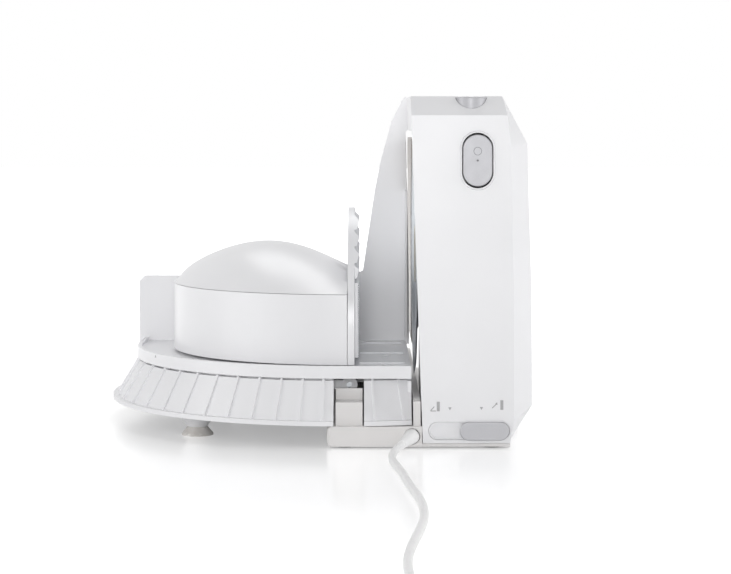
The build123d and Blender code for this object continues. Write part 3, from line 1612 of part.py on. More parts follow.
def coil_knot(turn):
    """Point of the coil after a number of turns, clockwise from its right-hand side."""
    radius = coil_radius - coil_pitch * (coil_turns_down - abs(turn - coil_turns_down))
    share = min(max((turn - turns_before_climb) / climb_turns, 0), 1)
    height = cord_radius + coil_pitch * share * share * (3 - 2 * share)
    return Vector(
        coil_middle.X + radius * cos(2 * pi * turn), coil_middle.Y - radius * sin(2 * pi * turn), height
    )


coil_steps = [step / 4 for step in range(round(turns_in_all * 4) + 1)]
coil_first, coil_last = coil_knot(0), coil_knot(turns_in_all)
into_coil, out_of_coil = Vector(0, -1, 0), Vector(-1, 0, 0)
coil_end = coil_last + out_of_coil * cord_diameter
coil_path = Wire(
    [Edge.make_line(coil_start, coil_first)]
    + winding(coil_knot, coil_steps, (into_coil, out_of_coil))
    + [Edge.make_line(coil_last, coil_end)]
)
with BuildPart() as cord_coil:
    with BuildSketch(Plane(origin=coil_start, z_dir=into_coil)):
        Circle(cord_radius)
    sweep(path=coil_path)
cord_coil.part.label = "cord_coil"
print_volume("coil", cord_coil.part, coil_path)
trail = [coil_path @ (step / coil_samples) for step in range(coil_samples + 1)]
apart = round(coil_samples * 3 * cord_diameter / coil_path.length)
least = min((a - b).length for k, a in enumerate(trail) for b in trail[k + apart:])
print("least gap of the coil to itself:", round(least - cord_diameter, 2))

# Free end of the cord and its plug, which lies on the worktop
tail_route = [tuple(coil_end)]
for step in tail_steps:
    tail_route.append(tuple(a + b for a, b in zip(tail_route[-1], step)))
tail_path = cord_line(tail_route)
with BuildPart() as cord_tail:
    with BuildSketch(Plane(origin=tail_path @ 0, z_dir=tail_path % 0)):
        Circle(cord_radius)
    sweep(path=tail_path)
cord_tail.part.label = "cord_tail"
print_volume("cord tail", cord_tail.part, tail_path)

plug_start = tail_path @ 1
plug_way = tail_path % 1
plug_height = 2 * plug_start.Z
plug_plane = Plane(origin=plug_start, x_dir=plug_way.cross(Vector(0, 0, 1)), z_dir=plug_way)
with BuildPart() as plug_body:
    with BuildSketch(plug_plane):
        Rectangle(plug_neck_width, plug_neck_height)
    with BuildSketch(plug_plane.offset(plug_neck)):
        Rectangle(plug_width, plug_height)
    loft(ruled=True)
    with BuildSketch(plug_plane.offset(plug_neck)):
        Rectangle(plug_width, plug_height)
    extrude(amount=plug_length - plug_neck)
    fillet(plug_body.faces().sort_by(Axis(plug_start, plug_way))[-1].edges(), radius=plug_edge)
plug_body.part.label = "plug_body"

with BuildPart() as plug_pins:
    with BuildSketch(plug_plane.offset(plug_length)):
        with Locations((-pin_spread / 2, 0), (pin_spread / 2, 0)):
            Circle(plug_pin_radius)
    extrude(amount=plug_pin_length)
plug_pins.part.label = "plug_pins"

for piece in (
    base_plate, base_feet, base_screws, motor_housing, housing_cover, housing_screws, gearbox_plate,
    blade_spindle, idler_shaft, motor_stator, field_coils, motor_bracket, motor_bearings, brush_holders,
    carbon_brushes, switch_module, switch_bezel, switch_rocker, lock_button, button_guide, button_spring,
    slider_bezel, latch_slider, latch_bolt, blade, blade_gear, blade_lock, idler_gear, armature_shaft,
    armature_core, commutator, cooling_fan, motor_pinion, stop_plate, stop_plate_carrier, guide_rods,
    stop_plate_frame, thickness_screw, thickness_knob, blade_guard_arc, fixed_table_segment, hinge_pin,
    folding_table, foot_stems, suction_feet, carriage_shoe, food_carriage, pusher_plate, pusher_body,
    pusher_cap, pusher_screws, strain_relief, cord_tube, cord_coil, cord_tail, plug_body, plug_pins,
):
    export_step(piece.part, "parts/" + piece.part.label + ".step")
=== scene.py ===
import json
from math import cos, pi, radians, sin

import bpy
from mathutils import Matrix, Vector
from mathutils.bvhtree import BVHTree


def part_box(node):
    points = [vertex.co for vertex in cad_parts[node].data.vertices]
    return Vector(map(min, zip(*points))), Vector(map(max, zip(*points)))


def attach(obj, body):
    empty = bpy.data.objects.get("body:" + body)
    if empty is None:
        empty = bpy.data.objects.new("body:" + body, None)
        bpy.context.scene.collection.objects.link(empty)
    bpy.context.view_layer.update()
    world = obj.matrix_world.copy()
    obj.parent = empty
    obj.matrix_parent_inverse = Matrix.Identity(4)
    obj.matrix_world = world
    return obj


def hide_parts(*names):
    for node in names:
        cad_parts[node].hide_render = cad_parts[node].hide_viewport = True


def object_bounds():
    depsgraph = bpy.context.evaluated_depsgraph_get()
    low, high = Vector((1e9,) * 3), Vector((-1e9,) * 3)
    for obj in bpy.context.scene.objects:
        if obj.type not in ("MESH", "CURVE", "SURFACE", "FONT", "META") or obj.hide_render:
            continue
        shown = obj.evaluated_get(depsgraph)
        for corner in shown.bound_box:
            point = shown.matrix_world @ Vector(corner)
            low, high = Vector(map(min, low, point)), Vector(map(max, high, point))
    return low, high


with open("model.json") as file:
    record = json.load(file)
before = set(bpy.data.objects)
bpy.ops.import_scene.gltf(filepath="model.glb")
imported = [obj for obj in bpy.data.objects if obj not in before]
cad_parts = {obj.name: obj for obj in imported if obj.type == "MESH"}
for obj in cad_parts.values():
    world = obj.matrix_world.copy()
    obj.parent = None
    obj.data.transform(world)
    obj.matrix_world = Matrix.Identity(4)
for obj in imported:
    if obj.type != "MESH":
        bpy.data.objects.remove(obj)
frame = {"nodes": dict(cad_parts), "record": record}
CAD_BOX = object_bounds()

bl_info = {
    "name": "Folding food slicer",
    "version": (1, 0, 0),
    "blender": (4, 5, 0),
    "location": "View3D > Sidebar > Slicer",
    "description": "Dresses a folding food slicer's packed frame with mouldings, controls and cord",
    "category": "Object",
}

MM = 0.001

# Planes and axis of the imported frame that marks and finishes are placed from, in metres. The blade
# reaches a little left of the plane that the slicer is drawn from
LEFT_OF_PLANE = 1.5 * MM
FRONT_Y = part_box("motor_housing")[0].y
BLADE_LOW, BLADE_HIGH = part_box("blade")
BLADE_X = BLADE_LOW.x + LEFT_OF_PLANE
BLADE_Y = (BLADE_LOW.y + BLADE_HIGH.y) / 2
BLADE_Z = (BLADE_LOW.z + BLADE_HIGH.z) / 2

# Cleaning of a CAD node's copy: corners that are nearer, and faces that are flatter, become one
MERGE_MM = 0.004
FLAT_DEGREES = 0.6

# The cord's route in metres, as in the part's own source: the strain relief, the bends of the free
# stretch, and the tail from the coil to the plug
CORD_EXIT = (0.0685, -0.1675, 0.008)
RELIEF_LENGTH = 0.022
CORD_BENDS = [
    (0.0560, -0.2040, 0.0040),
    (0.0540, -0.2240, 0.0026),
    (0.0565, -0.2500, 0.0025),
    (0.0605, -0.2800, 0.0025),
    (0.0625, -0.3120, 0.0025),
    (0.0665, -0.3460, 0.0025),
    (0.0700, -0.3840, 0.0025),
    (0.0700, -0.4240, 0.0025),
    (0.0655, -0.4660, 0.0025),
    (0.0600, -0.5080, 0.0025),
    (0.0575, -0.5480, 0.0025),
    (0.0595, -0.5860, 0.0025),
    (0.0600, -0.6120, 0.0025),
    (0.0600, -0.6340, 0.0025),
]
TAIL_STEPS = [
    (-0.005, 0, 0),
    (-0.013, 0, 0),
    (-0.015, -0.005, 0),
    (-0.016, -0.009, 0),
    (-0.016, -0.006, 0),
]

# Printed marks: rounding of the bars and triangles in mm, place of the mark on the carriage's front
# lip, across and up in metres, and how far up the rocker its ring and its dash stand
PRINT_EDGE_MM = 0.03
LIP_MARK = (-0.1118, 0.0508)
RING_UP, DASH_UP = 0.68, 0.5

# CAD nodes that have another finish than their slot's: the switch module is a lighter grey, painted
# light that makes the gap round the switch look less dark
PAINTED_LIGHT_FINISHES = {"switch_module": "grey_plastic"}

# Typical refraction of the plastics, the middle of a noise texture's values, and the radians that a
# wave texture runs through in a metre at scale 1
ABS_IOR, VINYL_IOR = 1.53, 1.45
NOISE_LOW, NOISE_HIGH = 0.3, 0.7
WAVE_RADIANS = 20

# The floor: its side in metres, how near and how far from the object it fades to white, and its own
# glow toward the camera at these two distances
FLOOR_SIDE = 16
FADE_NEAR, FADE_FAR = 0.32, 0.85
GLOW_NEAR, GLOW_FAR = 0.29, 0.9

# Strength of the white surround as light on the object, and as it is seen
SURROUND_LIGHT, SURROUND_SEEN = 0.33, 1.0

# Soft lamps: place, aim, width and height in metres, and power in watts
LAMPS = {
    "top_lamp": ((0.05, 0.9, 1.45), (0, 0, 0.1), (1.2, 0.8), 8),
    "left_lamp": ((-1.6, -0.6, 0.6), (0, 0, 0.12), (1.0, 1.2), 9),
    "right_lamp": ((1.7, -0.4, 0.6), (0, 0, 0.12), (0.8, 1.0), 10),
    "front_lamp": ((-0.03, -2.5, 0.5), (0, 0, 0.1), (0.4, 0.7), 15),
}

# The photograph's camera: its place and reach in metres, the sensor's width in mm, and the
# picture's width, focal length and shift upwards in pixels
CAMERA_PLACE = (0.0375, -1.568, 0.219)
CAMERA_REACH = 30
SENSOR_MM = 36
PICTURE_PX, FOCAL_PX, SHIFT_PX = 731, 2100, -167


# Helpers for finishes


def linear(colour):
    """Linear colour of an sRGB hex string."""
    parts = [int(colour[k:k + 2], 16) / 255 for k in (0, 2, 4)]
    return [c / 12.92 if c <= 0.04045 else ((c + 0.055) / 1.055) ** 2.4 for c in parts] + [1.0]


def set_sockets(tree, node, **sockets):
    """Links a node's sockets to outputs and gives the others values. i3 is socket number 3."""
    for name, value in sockets.items():
        key = int(name[1:]) if name[0] == "i" and name[1:].isdigit() else name.replace("_", " ")
        socket = node.inputs[key]
        if isinstance(value, bpy.types.NodeSocket):
            tree.links.new(value, socket)
        else:
            socket.default_value = value


def add_node(tree, kind, settings=None, **sockets):
    """Adds a node with its properties, its links and its values."""
    node = tree.nodes.new(kind)
    for name, value in (settings or {}).items():
        setattr(node, name, value)
    set_sockets(tree, node, **sockets)
    return node


def new_material(name):
    """An empty material, its node tree, and the Principled shader that ends it."""
    material = bpy.data.materials.new(name)
    material.use_nodes = True
    tree = material.node_tree
    return material, tree, tree.nodes["Principled BSDF"]


def object_place(tree):
    """Place on the piece in metres, which no pose changes."""
    return add_node(tree, "ShaderNodeTexCoord").outputs["Object"]


def repeats(size_mm):
    """Scale of a pattern whose grains or lines are about this large."""
    return 1000 / size_mm


def mottle(tree, place, size_mm, low=0, high=1, detail=2.0):
    """Value between low and high that wanders over patches of a real size."""
    noise = add_node(
        tree, "ShaderNodeTexNoise", Vector=place, Scale=repeats(size_mm), Detail=detail
    )
    span = add_node(
        tree, "ShaderNodeMapRange", Value=noise.outputs["Fac"],
        i1=NOISE_LOW, i2=NOISE_HIGH, i3=low, i4=high,
    )
    return span.outputs[0]


def bumped(tree, place, size_mm, depth_mm, radius_mm=0.0, detail=2.0):
    """Normal of a fine relief of a real size and depth, over edges rounded by a small radius."""
    noise = add_node(
        tree, "ShaderNodeTexNoise", Vector=place, Scale=repeats(size_mm), Detail=detail
    )
    bump = add_node(
        tree, "ShaderNodeBump", Height=noise.outputs["Fac"], Distance=depth_mm * MM, Strength=1.0
    )
    if radius_mm:
        edge = add_node(tree, "ShaderNodeBevel", {"samples": 4}, Radius=radius_mm * MM)
        tree.links.new(edge.outputs[0], bump.inputs["Normal"])
    return bump.outputs[0]


def mixed_colour(tree, share, first, second):
    """Colour between two sRGB hex colours."""
    mix = add_node(
        tree, "ShaderNodeMix", {"data_type": "RGBA"}, i0=share, i6=linear(first), i7=linear(second)
    )
    return mix.outputs[2]


# Finishes, each named for the real material and how it was made


def gloss_moulded_abs(name, colour, shade, roughness=0.3):
    """Injection-moulded ABS from a polished tool: a clear gloss over a very slight orange peel."""
    material, tree, shader = new_material(name)
    place = object_place(tree)
    set_sockets(
        tree, shader,
        Base_Color=mixed_colour(tree, mottle(tree, place, size_mm=60), colour, shade),
        Roughness=mottle(tree, place, size_mm=25, low=roughness - 0.02, high=roughness + 0.03),
        Normal=bumped(tree, place, size_mm=3.0, depth_mm=0.002),
        IOR=ABS_IOR,
    )
    return material


def satin_moulded_abs(name, colour, shade, roughness=0.5, grain_mm=0.6):
    """ABS from a spark-eroded tool: an even fine grain that spreads the highlight."""
    material, tree, shader = new_material(name)
    place = object_place(tree)
    set_sockets(
        tree, shader,
        Base_Color=mixed_colour(tree, mottle(tree, place, size_mm=30), colour, shade),
        Roughness=mottle(tree, place, size_mm=6, low=roughness - 0.06, high=roughness + 0.06),
        Normal=bumped(tree, place, size_mm=grain_mm, depth_mm=0.02, radius_mm=0.3, detail=3.0),
        IOR=ABS_IOR,
    )
    return material


def silver_lacquered_abs(name, colour, shade, flake_mm=0.25):
    """ABS sprayed with silver lacquer: fine metal flake under a satin clear coat."""
    material, tree, shader = new_material(name)
    place = object_place(tree)
    flake = add_node(tree, "ShaderNodeTexVoronoi", Vector=place, Scale=repeats(flake_mm))
    share = add_node(
        tree, "ShaderNodeMapRange", Value=flake.outputs["Distance"], i1=0.0, i2=0.8, i3=0.0, i4=1.0
    )
    set_sockets(
        tree, shader,
        Base_Color=mixed_colour(tree, share.outputs[0], colour, shade),
        Roughness=mottle(tree, place, size_mm=5, low=0.46, high=0.52),
        Normal=bumped(tree, place, size_mm=0.5, depth_mm=0.004),
        Metallic=0.3, Coat_Weight=0.15, Coat_Roughness=0.3,
    )
    return material


def ground_stainless(name, colour, shade, line_mm=0.8):
    """Stainless steel ground on a turntable: fine rings about the blade's axis."""
    material, tree, shader = new_material(name)
    off_axis = add_node(
        tree, "ShaderNodeVectorMath", {"operation": "SUBTRACT"},
        i0=object_place(tree), i1=(0, BLADE_Y, BLADE_Z),
    )
    flat = add_node(
        tree, "ShaderNodeVectorMath", {"operation": "MULTIPLY"},
        i0=off_axis.outputs[0], i1=(0, 1, 1),
    )
    radius = add_node(tree, "ShaderNodeVectorMath", {"operation": "LENGTH"}, i0=flat.outputs[0])
    rings = add_node(
        tree, "ShaderNodeTexNoise", {"noise_dimensions": "1D"},
        W=radius.outputs["Value"], Scale=repeats(line_mm), Detail=4.0,
    ).outputs["Fac"]
    rough = add_node(
        tree, "ShaderNodeMapRange", Value=rings, i1=NOISE_LOW, i2=NOISE_HIGH, i3=0.2, i4=0.36
    )
    bump = add_node(tree, "ShaderNodeBump", Height=rings, Distance=0.01 * MM, Strength=1.0)
    set_sockets(
        tree, shader,
        Base_Color=mixed_colour(tree, rings, colour, shade),
        Roughness=rough.outputs[0], Normal=bump.outputs[0], Metallic=1.0,
    )
    return material


def drawn_metal(name, colour, shade, metal=1.0):
    """Drawn or turned metal: faint lines and handling marks. With a low share of metal and a dark
    colour, as on the stop plate, it is painted shade.
    """
    material, tree, shader = new_material(name)
    place = object_place(tree)
    long_way = add_node(
        tree, "ShaderNodeMapping", Vector=place, Scale=(0.08, 1, 1)
    ).outputs[0]
    lines = mottle(tree, long_way, size_mm=0.7, detail=4.0)
    set_sockets(
        tree, shader,
        Base_Color=mixed_colour(tree, lines, colour, shade),
        Roughness=mottle(tree, place, size_mm=4, low=0.24, high=0.42),
        Normal=bumped(tree, long_way, size_mm=0.5, depth_mm=0.005, radius_mm=0.2),
        Metallic=metal,
    )
    return material


def laminated_iron(name, colour, shade, sheet_mm=0.9):
    """Stack of punched iron sheets: bands along the motor's shaft, drawn far coarser than real
    ones, 2 pi times sheet_mm apart."""
    material, tree, shader = new_material(name)
    place = object_place(tree)
    bands = add_node(
        tree, "ShaderNodeTexWave", {"bands_direction": "X"},
        Vector=place, Scale=repeats(sheet_mm) / WAVE_RADIANS, Distortion=0.0,
    ).outputs["Fac"]
    bump = add_node(tree, "ShaderNodeBump", Height=bands, Distance=0.08 * MM, Strength=1.0)
    set_sockets(
        tree, shader,
        Base_Color=mixed_colour(tree, bands, colour, shade),
        Roughness=mottle(tree, place, size_mm=3, low=0.42, high=0.6),
        Normal=bump.outputs[0], Metallic=0.8,
    )
    return material


def wound_copper(name, colour, shade, wire_mm=0.7):
    """Enamelled copper wire wound round a pole: rows of round wire under lacquer, drawn coarser
    than real ones, 2 pi times wire_mm apart."""
    material, tree, shader = new_material(name)
    place = object_place(tree)
    rows = add_node(
        tree, "ShaderNodeTexWave", {"wave_type": "RINGS", "rings_direction": "X"},
        Vector=place, Scale=repeats(wire_mm) / WAVE_RADIANS, Distortion=0.6,
    ).outputs["Fac"]
    bump = add_node(tree, "ShaderNodeBump", Height=rows, Distance=0.2 * MM, Strength=1.0)
    set_sockets(
        tree, shader,
        Base_Color=mixed_colour(tree, rows, colour, shade),
        Roughness=mottle(tree, place, size_mm=3, low=0.28, high=0.4),
        Normal=bump.outputs[0], Metallic=0.9, Coat_Weight=0.5,
    )
    return material


def clear_vinyl(name, colour, shade):
    """Soft translucent vinyl of a suction cup: milky, with a wet-looking skin."""
    material, tree, shader = new_material(name)
    place = object_place(tree)
    set_sockets(
        tree, shader,
        Base_Color=mixed_colour(tree, mottle(tree, place, size_mm=6), colour, shade),
        Roughness=mottle(tree, place, size_mm=3, low=0.16, high=0.26),
        Normal=bumped(tree, place, size_mm=1.5, depth_mm=0.01, radius_mm=0.3),
        Transmission_Weight=0.25, IOR=VINYL_IOR,
    )
    return material


def pressed_rubber(name, colour, shade, roughness=0.6):
    """Compression-moulded rubber or cord sheath: dull, with a slight dusty bloom."""
    material, tree, shader = new_material(name)
    place = object_place(tree)
    set_sockets(
        tree, shader,
        Base_Color=mixed_colour(tree, mottle(tree, place, size_mm=8), colour, shade),
        Roughness=mottle(tree, place, size_mm=2, low=roughness - 0.08, high=roughness + 0.08),
        Normal=bumped(tree, place, size_mm=0.8, depth_mm=0.02),
    )
    return material


def screen_ink(name, colour, shade):
    """Grey screen-printed ink: a thin matt film, a little uneven in density."""
    material, tree, shader = new_material(name)
    place = object_place(tree)
    set_sockets(
        tree, shader,
        Base_Color=mixed_colour(tree, mottle(tree, place, size_mm=0.8), colour, shade),
        Roughness=mottle(tree, place, size_mm=0.6, low=0.5, high=0.62),
    )
    return material


FINISHES = {}


def make_finishes(colours):
    """One material for each of the record's slots, and for finishes that only this script gives."""
    FINISHES.update({
        "white_gloss": gloss_moulded_abs(
            "gloss_moulded_abs_white", colours.white, colours.white_shade
        ),
        # The base's satin white is a darker copy of the white mouldings: painted shade for the base
        # under the table.
        "satin_white_painted_shade": satin_moulded_abs("satin_abs_white_painted_shade", "e5e3e2", "e0dedd", 0.4),
        # Lighter grey for the switch module: painted light in the gap round the switch.
        "grey_plastic": satin_moulded_abs("grey_abs_painted_light", "b9b8b6", "aeadab"),
        "silver_paint": silver_lacquered_abs("silver_lacquered_abs", colours.silver, "b0b0b4"),
        "light_trim": silver_lacquered_abs("light_silver_lacquer", "d2d2d4", "c6c6c8"),
        "dark_plastic": satin_moulded_abs("satin_moulded_abs_dark", "2b2b2d", "242426"),
        "blade_steel": ground_stainless("ground_stainless_steel", "c9ced2", "aab0b6"),
        # The stop plate's dark brown-grey with little metal is painted shade: the plate stands in a
        # shaded slit beside the blade.
        "plate_metal_painted_shade": drawn_metal("stop_plate_painted_shade", "7a6f68", "70665f", metal=0.25),
        "steel": drawn_metal("bright_drawn_steel", "b9bcbf", "9ea2a6"),
        "gear_plastic": satin_moulded_abs("satin_moulded_nylon", "ded9c8", "d2ccb9", 0.42),
        "motor_iron": laminated_iron("laminated_iron", "5b5b5e", "3e3e41"),
        "brass": drawn_metal("machined_brass", "c9a964", "ad8c48"),
        "copper_wire": wound_copper("enamelled_copper_wire", "b56f41", "7c4524"),
        "clear_rubber": clear_vinyl("clear_soft_vinyl", "f2efec", "e9e5e0"),
        # This grey also paints the dark shadow gap round the switch's trim, and prints the switch's
        # marks.
        "gasket": pressed_rubber("grey_rubber_and_painted_shadow_gap", "77777a", "6e6e71"),
        "black_rubber": pressed_rubber("pressed_black_rubber", "1d1d1e", "272728"),
        "white_cord": pressed_rubber("extruded_white_pvc", "f9f9f9", "f5f5f5", 0.4),
        "ink": screen_ink("grey_screen_ink", colours.ink, "a9a8aa"),
    })


# Helpers for pieces


def finish_for(node):
    """Slot of a CAD node, as the record gives it."""
    for entry in frame["record"]["subparts"]:
        if entry["node"] == node:
            return entry["material_slot"]
    raise ValueError("no slot for " + node)


def body_of(node):
    """CAD body that a node belongs to."""
    for body, nodes in frame["record"]["behaviour"]["bodies"].items():
        if node in nodes:
            return body
    raise ValueError("no body for " + node)


def only(piece):
    """Makes one piece the only selected and the active one."""
    bpy.ops.object.select_all(action="DESELECT")
    piece.select_set(True)
    bpy.context.view_layer.objects.active = piece


def settle(piece, slot, body, material=None, smooth=32):
    """Puts a finished piece's place into its mesh, smooths edges below an angle in degrees, and
    gives it its finish and its body."""
    only(piece)
    bpy.ops.object.transform_apply(location=True, rotation=True, scale=True)
    if smooth:
        bpy.ops.object.shade_smooth_by_angle(angle=radians(smooth))
    piece.data.materials.clear()
    piece.data.materials.append(FINISHES[material or slot])
    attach(piece, body)
    return piece


def apply_modifier(piece, kind, **settings):
    """Adds a modifier with its settings and applies it at once."""
    only(piece)
    modifier = piece.modifiers.new(kind.lower(), kind)
    for name, value in settings.items():
        setattr(modifier, name, value)
    bpy.ops.object.modifier_apply(modifier=modifier.name)


def moulded_from(node, name, round_mm, material=None, smooth=32, steps=3, sharp=24):
    """Moulding with the CAD node's own form: its loose triangles merged, and its edges rounded
    where they are sharper than an angle in degrees."""
    source = frame["nodes"][node]
    piece = bpy.data.objects.new(name, source.data.copy())
    bpy.context.scene.collection.objects.link(piece)
    only(piece)
    bpy.ops.object.mode_set(mode="EDIT")
    bpy.ops.mesh.select_all(action="SELECT")
    bpy.ops.mesh.remove_doubles(threshold=MERGE_MM * MM)
    bpy.ops.mesh.dissolve_limited(angle_limit=radians(FLAT_DEGREES))
    bpy.ops.object.mode_set(mode="OBJECT")
    if round_mm:
        apply_modifier(
            piece, "BEVEL", width=round_mm * MM, segments=steps, limit_method="ANGLE",
            angle_limit=radians(sharp), use_clamp_overlap=True, miter_outer="MITER_ARC",
        )
    settle(piece, finish_for(node), body_of(node), material, smooth)
    if round_mm:
        apply_modifier(piece, "WEIGHTED_NORMAL", keep_sharp=True)
    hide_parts(node)
    return piece


def shadow_line(node, name, wide_mm, sunk_mm=0.3):
    """Painted shadow gap round a trim on the tower's face: a dark copy of the trim's form, a little
    larger and sunk.
    """
    low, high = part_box(node)
    piece = frame["nodes"][node].copy()
    piece.data = piece.data.copy()
    piece.name = name
    bpy.context.scene.collection.objects.link(piece)
    only(piece)
    across = 1 + 2 * wide_mm * MM / (high.x - low.x)
    up = 1 + 2 * wide_mm * MM / (high.z - low.z)
    middle = tuple((low + high) / 2)
    bpy.ops.transform.resize(value=(across, 1, up), center_override=middle)
    bpy.ops.transform.translate(value=(0, sunk_mm * MM, 0))
    return settle(piece, finish_for(node), body_of(node), "gasket", smooth=0)


def start(name):
    """The primitive just added or the pieces just joined, under their own name."""
    piece = bpy.context.active_object
    piece.name = name
    piece.data.name = name
    return piece


# Sizes and colours that a user would change


class SlicerColours(bpy.types.PropertyGroup):
    white: bpy.props.StringProperty(
        name="White", description="Hex colour of the white mouldings", default="efeff1"
    )
    white_shade: bpy.props.StringProperty(
        name="White shade", description="Hex colour that the white wanders to", default="ececee"
    )
    silver: bpy.props.StringProperty(
        name="Silver", description="Hex colour of the lacquered buttons", default="bababd"
    )
    ink: bpy.props.StringProperty(
        name="Ink", description="Hex colour of the printed marks", default="b3b2b4"
    )


class SlicerSizes(bpy.types.PropertyGroup):
    edge: bpy.props.FloatProperty(
        name="Edge radius", description="Rounding of the outer edges of tower and base, in mm",
        default=1.6, min=0.1, max=3.0,
    )
    thin_edge: bpy.props.FloatProperty(
        name="Thin edge radius", description="Rounding of thin walls and ribs, in mm",
        default=0.35, min=0.05, max=0.8,
    )
    ink_height: bpy.props.FloatProperty(
        name="Ink height", description="How far printed marks stand out, in mm", default=0.08,
        min=0.02, max=0.3,
    )
    cord: bpy.props.FloatProperty(
        name="Cord diameter", description="Diameter of the mains cord", default=0.005,
        subtype="DISTANCE", unit="LENGTH",
    )


# Stage


def area_lamp(name, place, aim, size, power):
    """Soft rectangular white lamp aimed at a point."""
    bpy.ops.object.light_add(type="AREA", location=place)
    lamp = bpy.context.active_object
    lamp.name = name
    lamp.data.shape = "RECTANGLE"
    lamp.data.size, lamp.data.size_y = size
    lamp.data.energy = power
    lamp.rotation_euler = (Vector(aim) - Vector(place)).to_track_quat("-Z", "Y").to_euler()


def white_world():
    """White surroundings as camera, gloss and glass see them, and softer as light on the object."""
    world = bpy.data.worlds.new("studio_surround")
    bpy.context.scene.world = world
    world.use_nodes = True
    tree = world.node_tree
    ways = add_node(tree, "ShaderNodeLightPath")
    straight = add_node(
        tree, "ShaderNodeMath", {"operation": "MAXIMUM"},
        i0=ways.outputs["Is Camera Ray"], i1=ways.outputs["Is Transmission Ray"],
    )
    seen = add_node(
        tree, "ShaderNodeMath", {"operation": "MAXIMUM"},
        i0=straight.outputs[0], i1=ways.outputs["Is Glossy Ray"],
    )
    white = linear("ffffff")
    soft = add_node(tree, "ShaderNodeBackground", Color=white, Strength=SURROUND_LIGHT)
    bright = add_node(tree, "ShaderNodeBackground", Color=white, Strength=SURROUND_SEEN)
    mix = add_node(
        tree, "ShaderNodeMixShader", i0=seen.outputs[0], i1=soft.outputs[0], i2=bright.outputs[0]
    )
    tree.links.new(mix.outputs[0], tree.nodes["World Output"].inputs["Surface"])


def floor_paint():
    """White seamless floor: keeps a soft shadow by the object and fades to white around it."""
    material, tree, shader = new_material("white_studio_floor")
    place = object_place(tree)
    relief = bumped(tree, place, size_mm=60, depth_mm=0.02)
    ways = add_node(tree, "ShaderNodeLightPath")
    seen = add_node(
        tree, "ShaderNodeMath", {"operation": "MAXIMUM"},
        i0=ways.outputs["Is Camera Ray"], i1=ways.outputs["Is Glossy Ray"],
    )
    from_object = add_node(tree, "ShaderNodeVectorMath", {"operation": "LENGTH"}, i0=place)
    fade = add_node(
        tree, "ShaderNodeMapRange", {"interpolation_type": "SMOOTHSTEP"},
        Value=from_object.outputs["Value"],
        i1=FADE_NEAR, i2=FADE_FAR, i3=GLOW_NEAR, i4=GLOW_FAR,
    )
    glow = add_node(
        tree, "ShaderNodeMath", {"operation": "MULTIPLY"}, i0=seen.outputs[0], i1=fade.outputs[0]
    )
    set_sockets(
        tree, shader, Base_Color=linear("f6f6f6"), Roughness=0.2, Specular_IOR_Level=0.5,
        Normal=relief, Emission_Color=linear("ffffff"), Emission_Strength=glow.outputs[0],
    )
    return material


class SLICER_OT_stage(bpy.types.Operator):
    """Floor, surround, lamps and the camera at the photograph's angle"""

    bl_idname = "slicer.stage"
    bl_label = "Stage"

    def execute(self, context):
        bpy.ops.mesh.primitive_plane_add(size=FLOOR_SIDE, location=(0, 0, 0))
        floor = start("floor")
        floor.data.materials.append(floor_paint())
        white_world()
        for name, (place, aim, size, power) in LAMPS.items():
            area_lamp(name, place, aim, size, power)
        bpy.ops.object.camera_add(location=CAMERA_PLACE, rotation=(pi / 2, 0, 0))
        camera = bpy.context.active_object
        camera.data.sensor_width = SENSOR_MM
        camera.data.lens = SENSOR_MM * FOCAL_PX / PICTURE_PX
        camera.data.shift_y = SHIFT_PX / PICTURE_PX
        camera.data.clip_end = CAMERA_REACH
        context.scene.camera = camera
        context.scene.view_settings.view_transform = "Standard"
        return {"FINISHED"}


# Mouldings of the body


class SLICER_OT_tower(bpy.types.Operator):
    """Both tower shells, the base, and the frame and guard beside the blade"""

    bl_idname = "slicer.tower"
    bl_label = "Tower"

    def execute(self, context):
        sizes = context.scene.slicer_sizes
        moulded_from("motor_housing", "tower_shell", sizes.edge)
        moulded_from("housing_cover", "tower_cover", sizes.edge)
        # The base moulding is painted darker, as shade under the table.
        moulded_from("base_plate", "base_moulding", sizes.edge, material="satin_white_painted_shade")
        moulded_from("stop_plate_frame", "plate_frame_moulding", sizes.thin_edge)
        moulded_from("blade_guard_arc", "blade_guard", sizes.thin_edge)
        return {"FINISHED"}


class SLICER_OT_table(bpy.types.Operator):
    """Folding table, fixed strip, feet and the shoe in its track"""

    bl_idname = "slicer.table"
    bl_label = "Table"

    def execute(self, context):
        sizes = context.scene.slicer_sizes
        moulded_from("folding_table", "table_moulding", sizes.thin_edge, steps=2)
        moulded_from("fixed_table_segment", "strip_moulding", sizes.thin_edge, steps=2)
        moulded_from("foot_stems", "foot_stem", sizes.thin_edge, material="white_gloss")
        moulded_from("suction_feet", "suction_cup", round_mm=0, smooth=50)
        moulded_from("carriage_shoe", "track_shoe", sizes.thin_edge)
        return {"FINISHED"}


class SLICER_OT_carriage(bpy.types.Operator):
    """Food carriage with its tall guard"""

    bl_idname = "slicer.carriage"
    bl_label = "Carriage"

    def execute(self, context):
        moulded_from("food_carriage", "carriage_moulding", round_mm=0.6)
        return {"FINISHED"}


class SLICER_OT_holder(bpy.types.Operator):
    """Remnant holder: toothed plate, body and dome"""

    bl_idname = "slicer.holder"
    bl_label = "Remnant holder"

    def execute(self, context):
        sizes = context.scene.slicer_sizes
        moulded_from("pusher_plate", "toothed_plate", sizes.thin_edge, steps=2)
        moulded_from("pusher_body", "holder_body", sizes.thin_edge)
        moulded_from("pusher_cap", "holder_dome", round_mm=0, smooth=60)
        return {"FINISHED"}


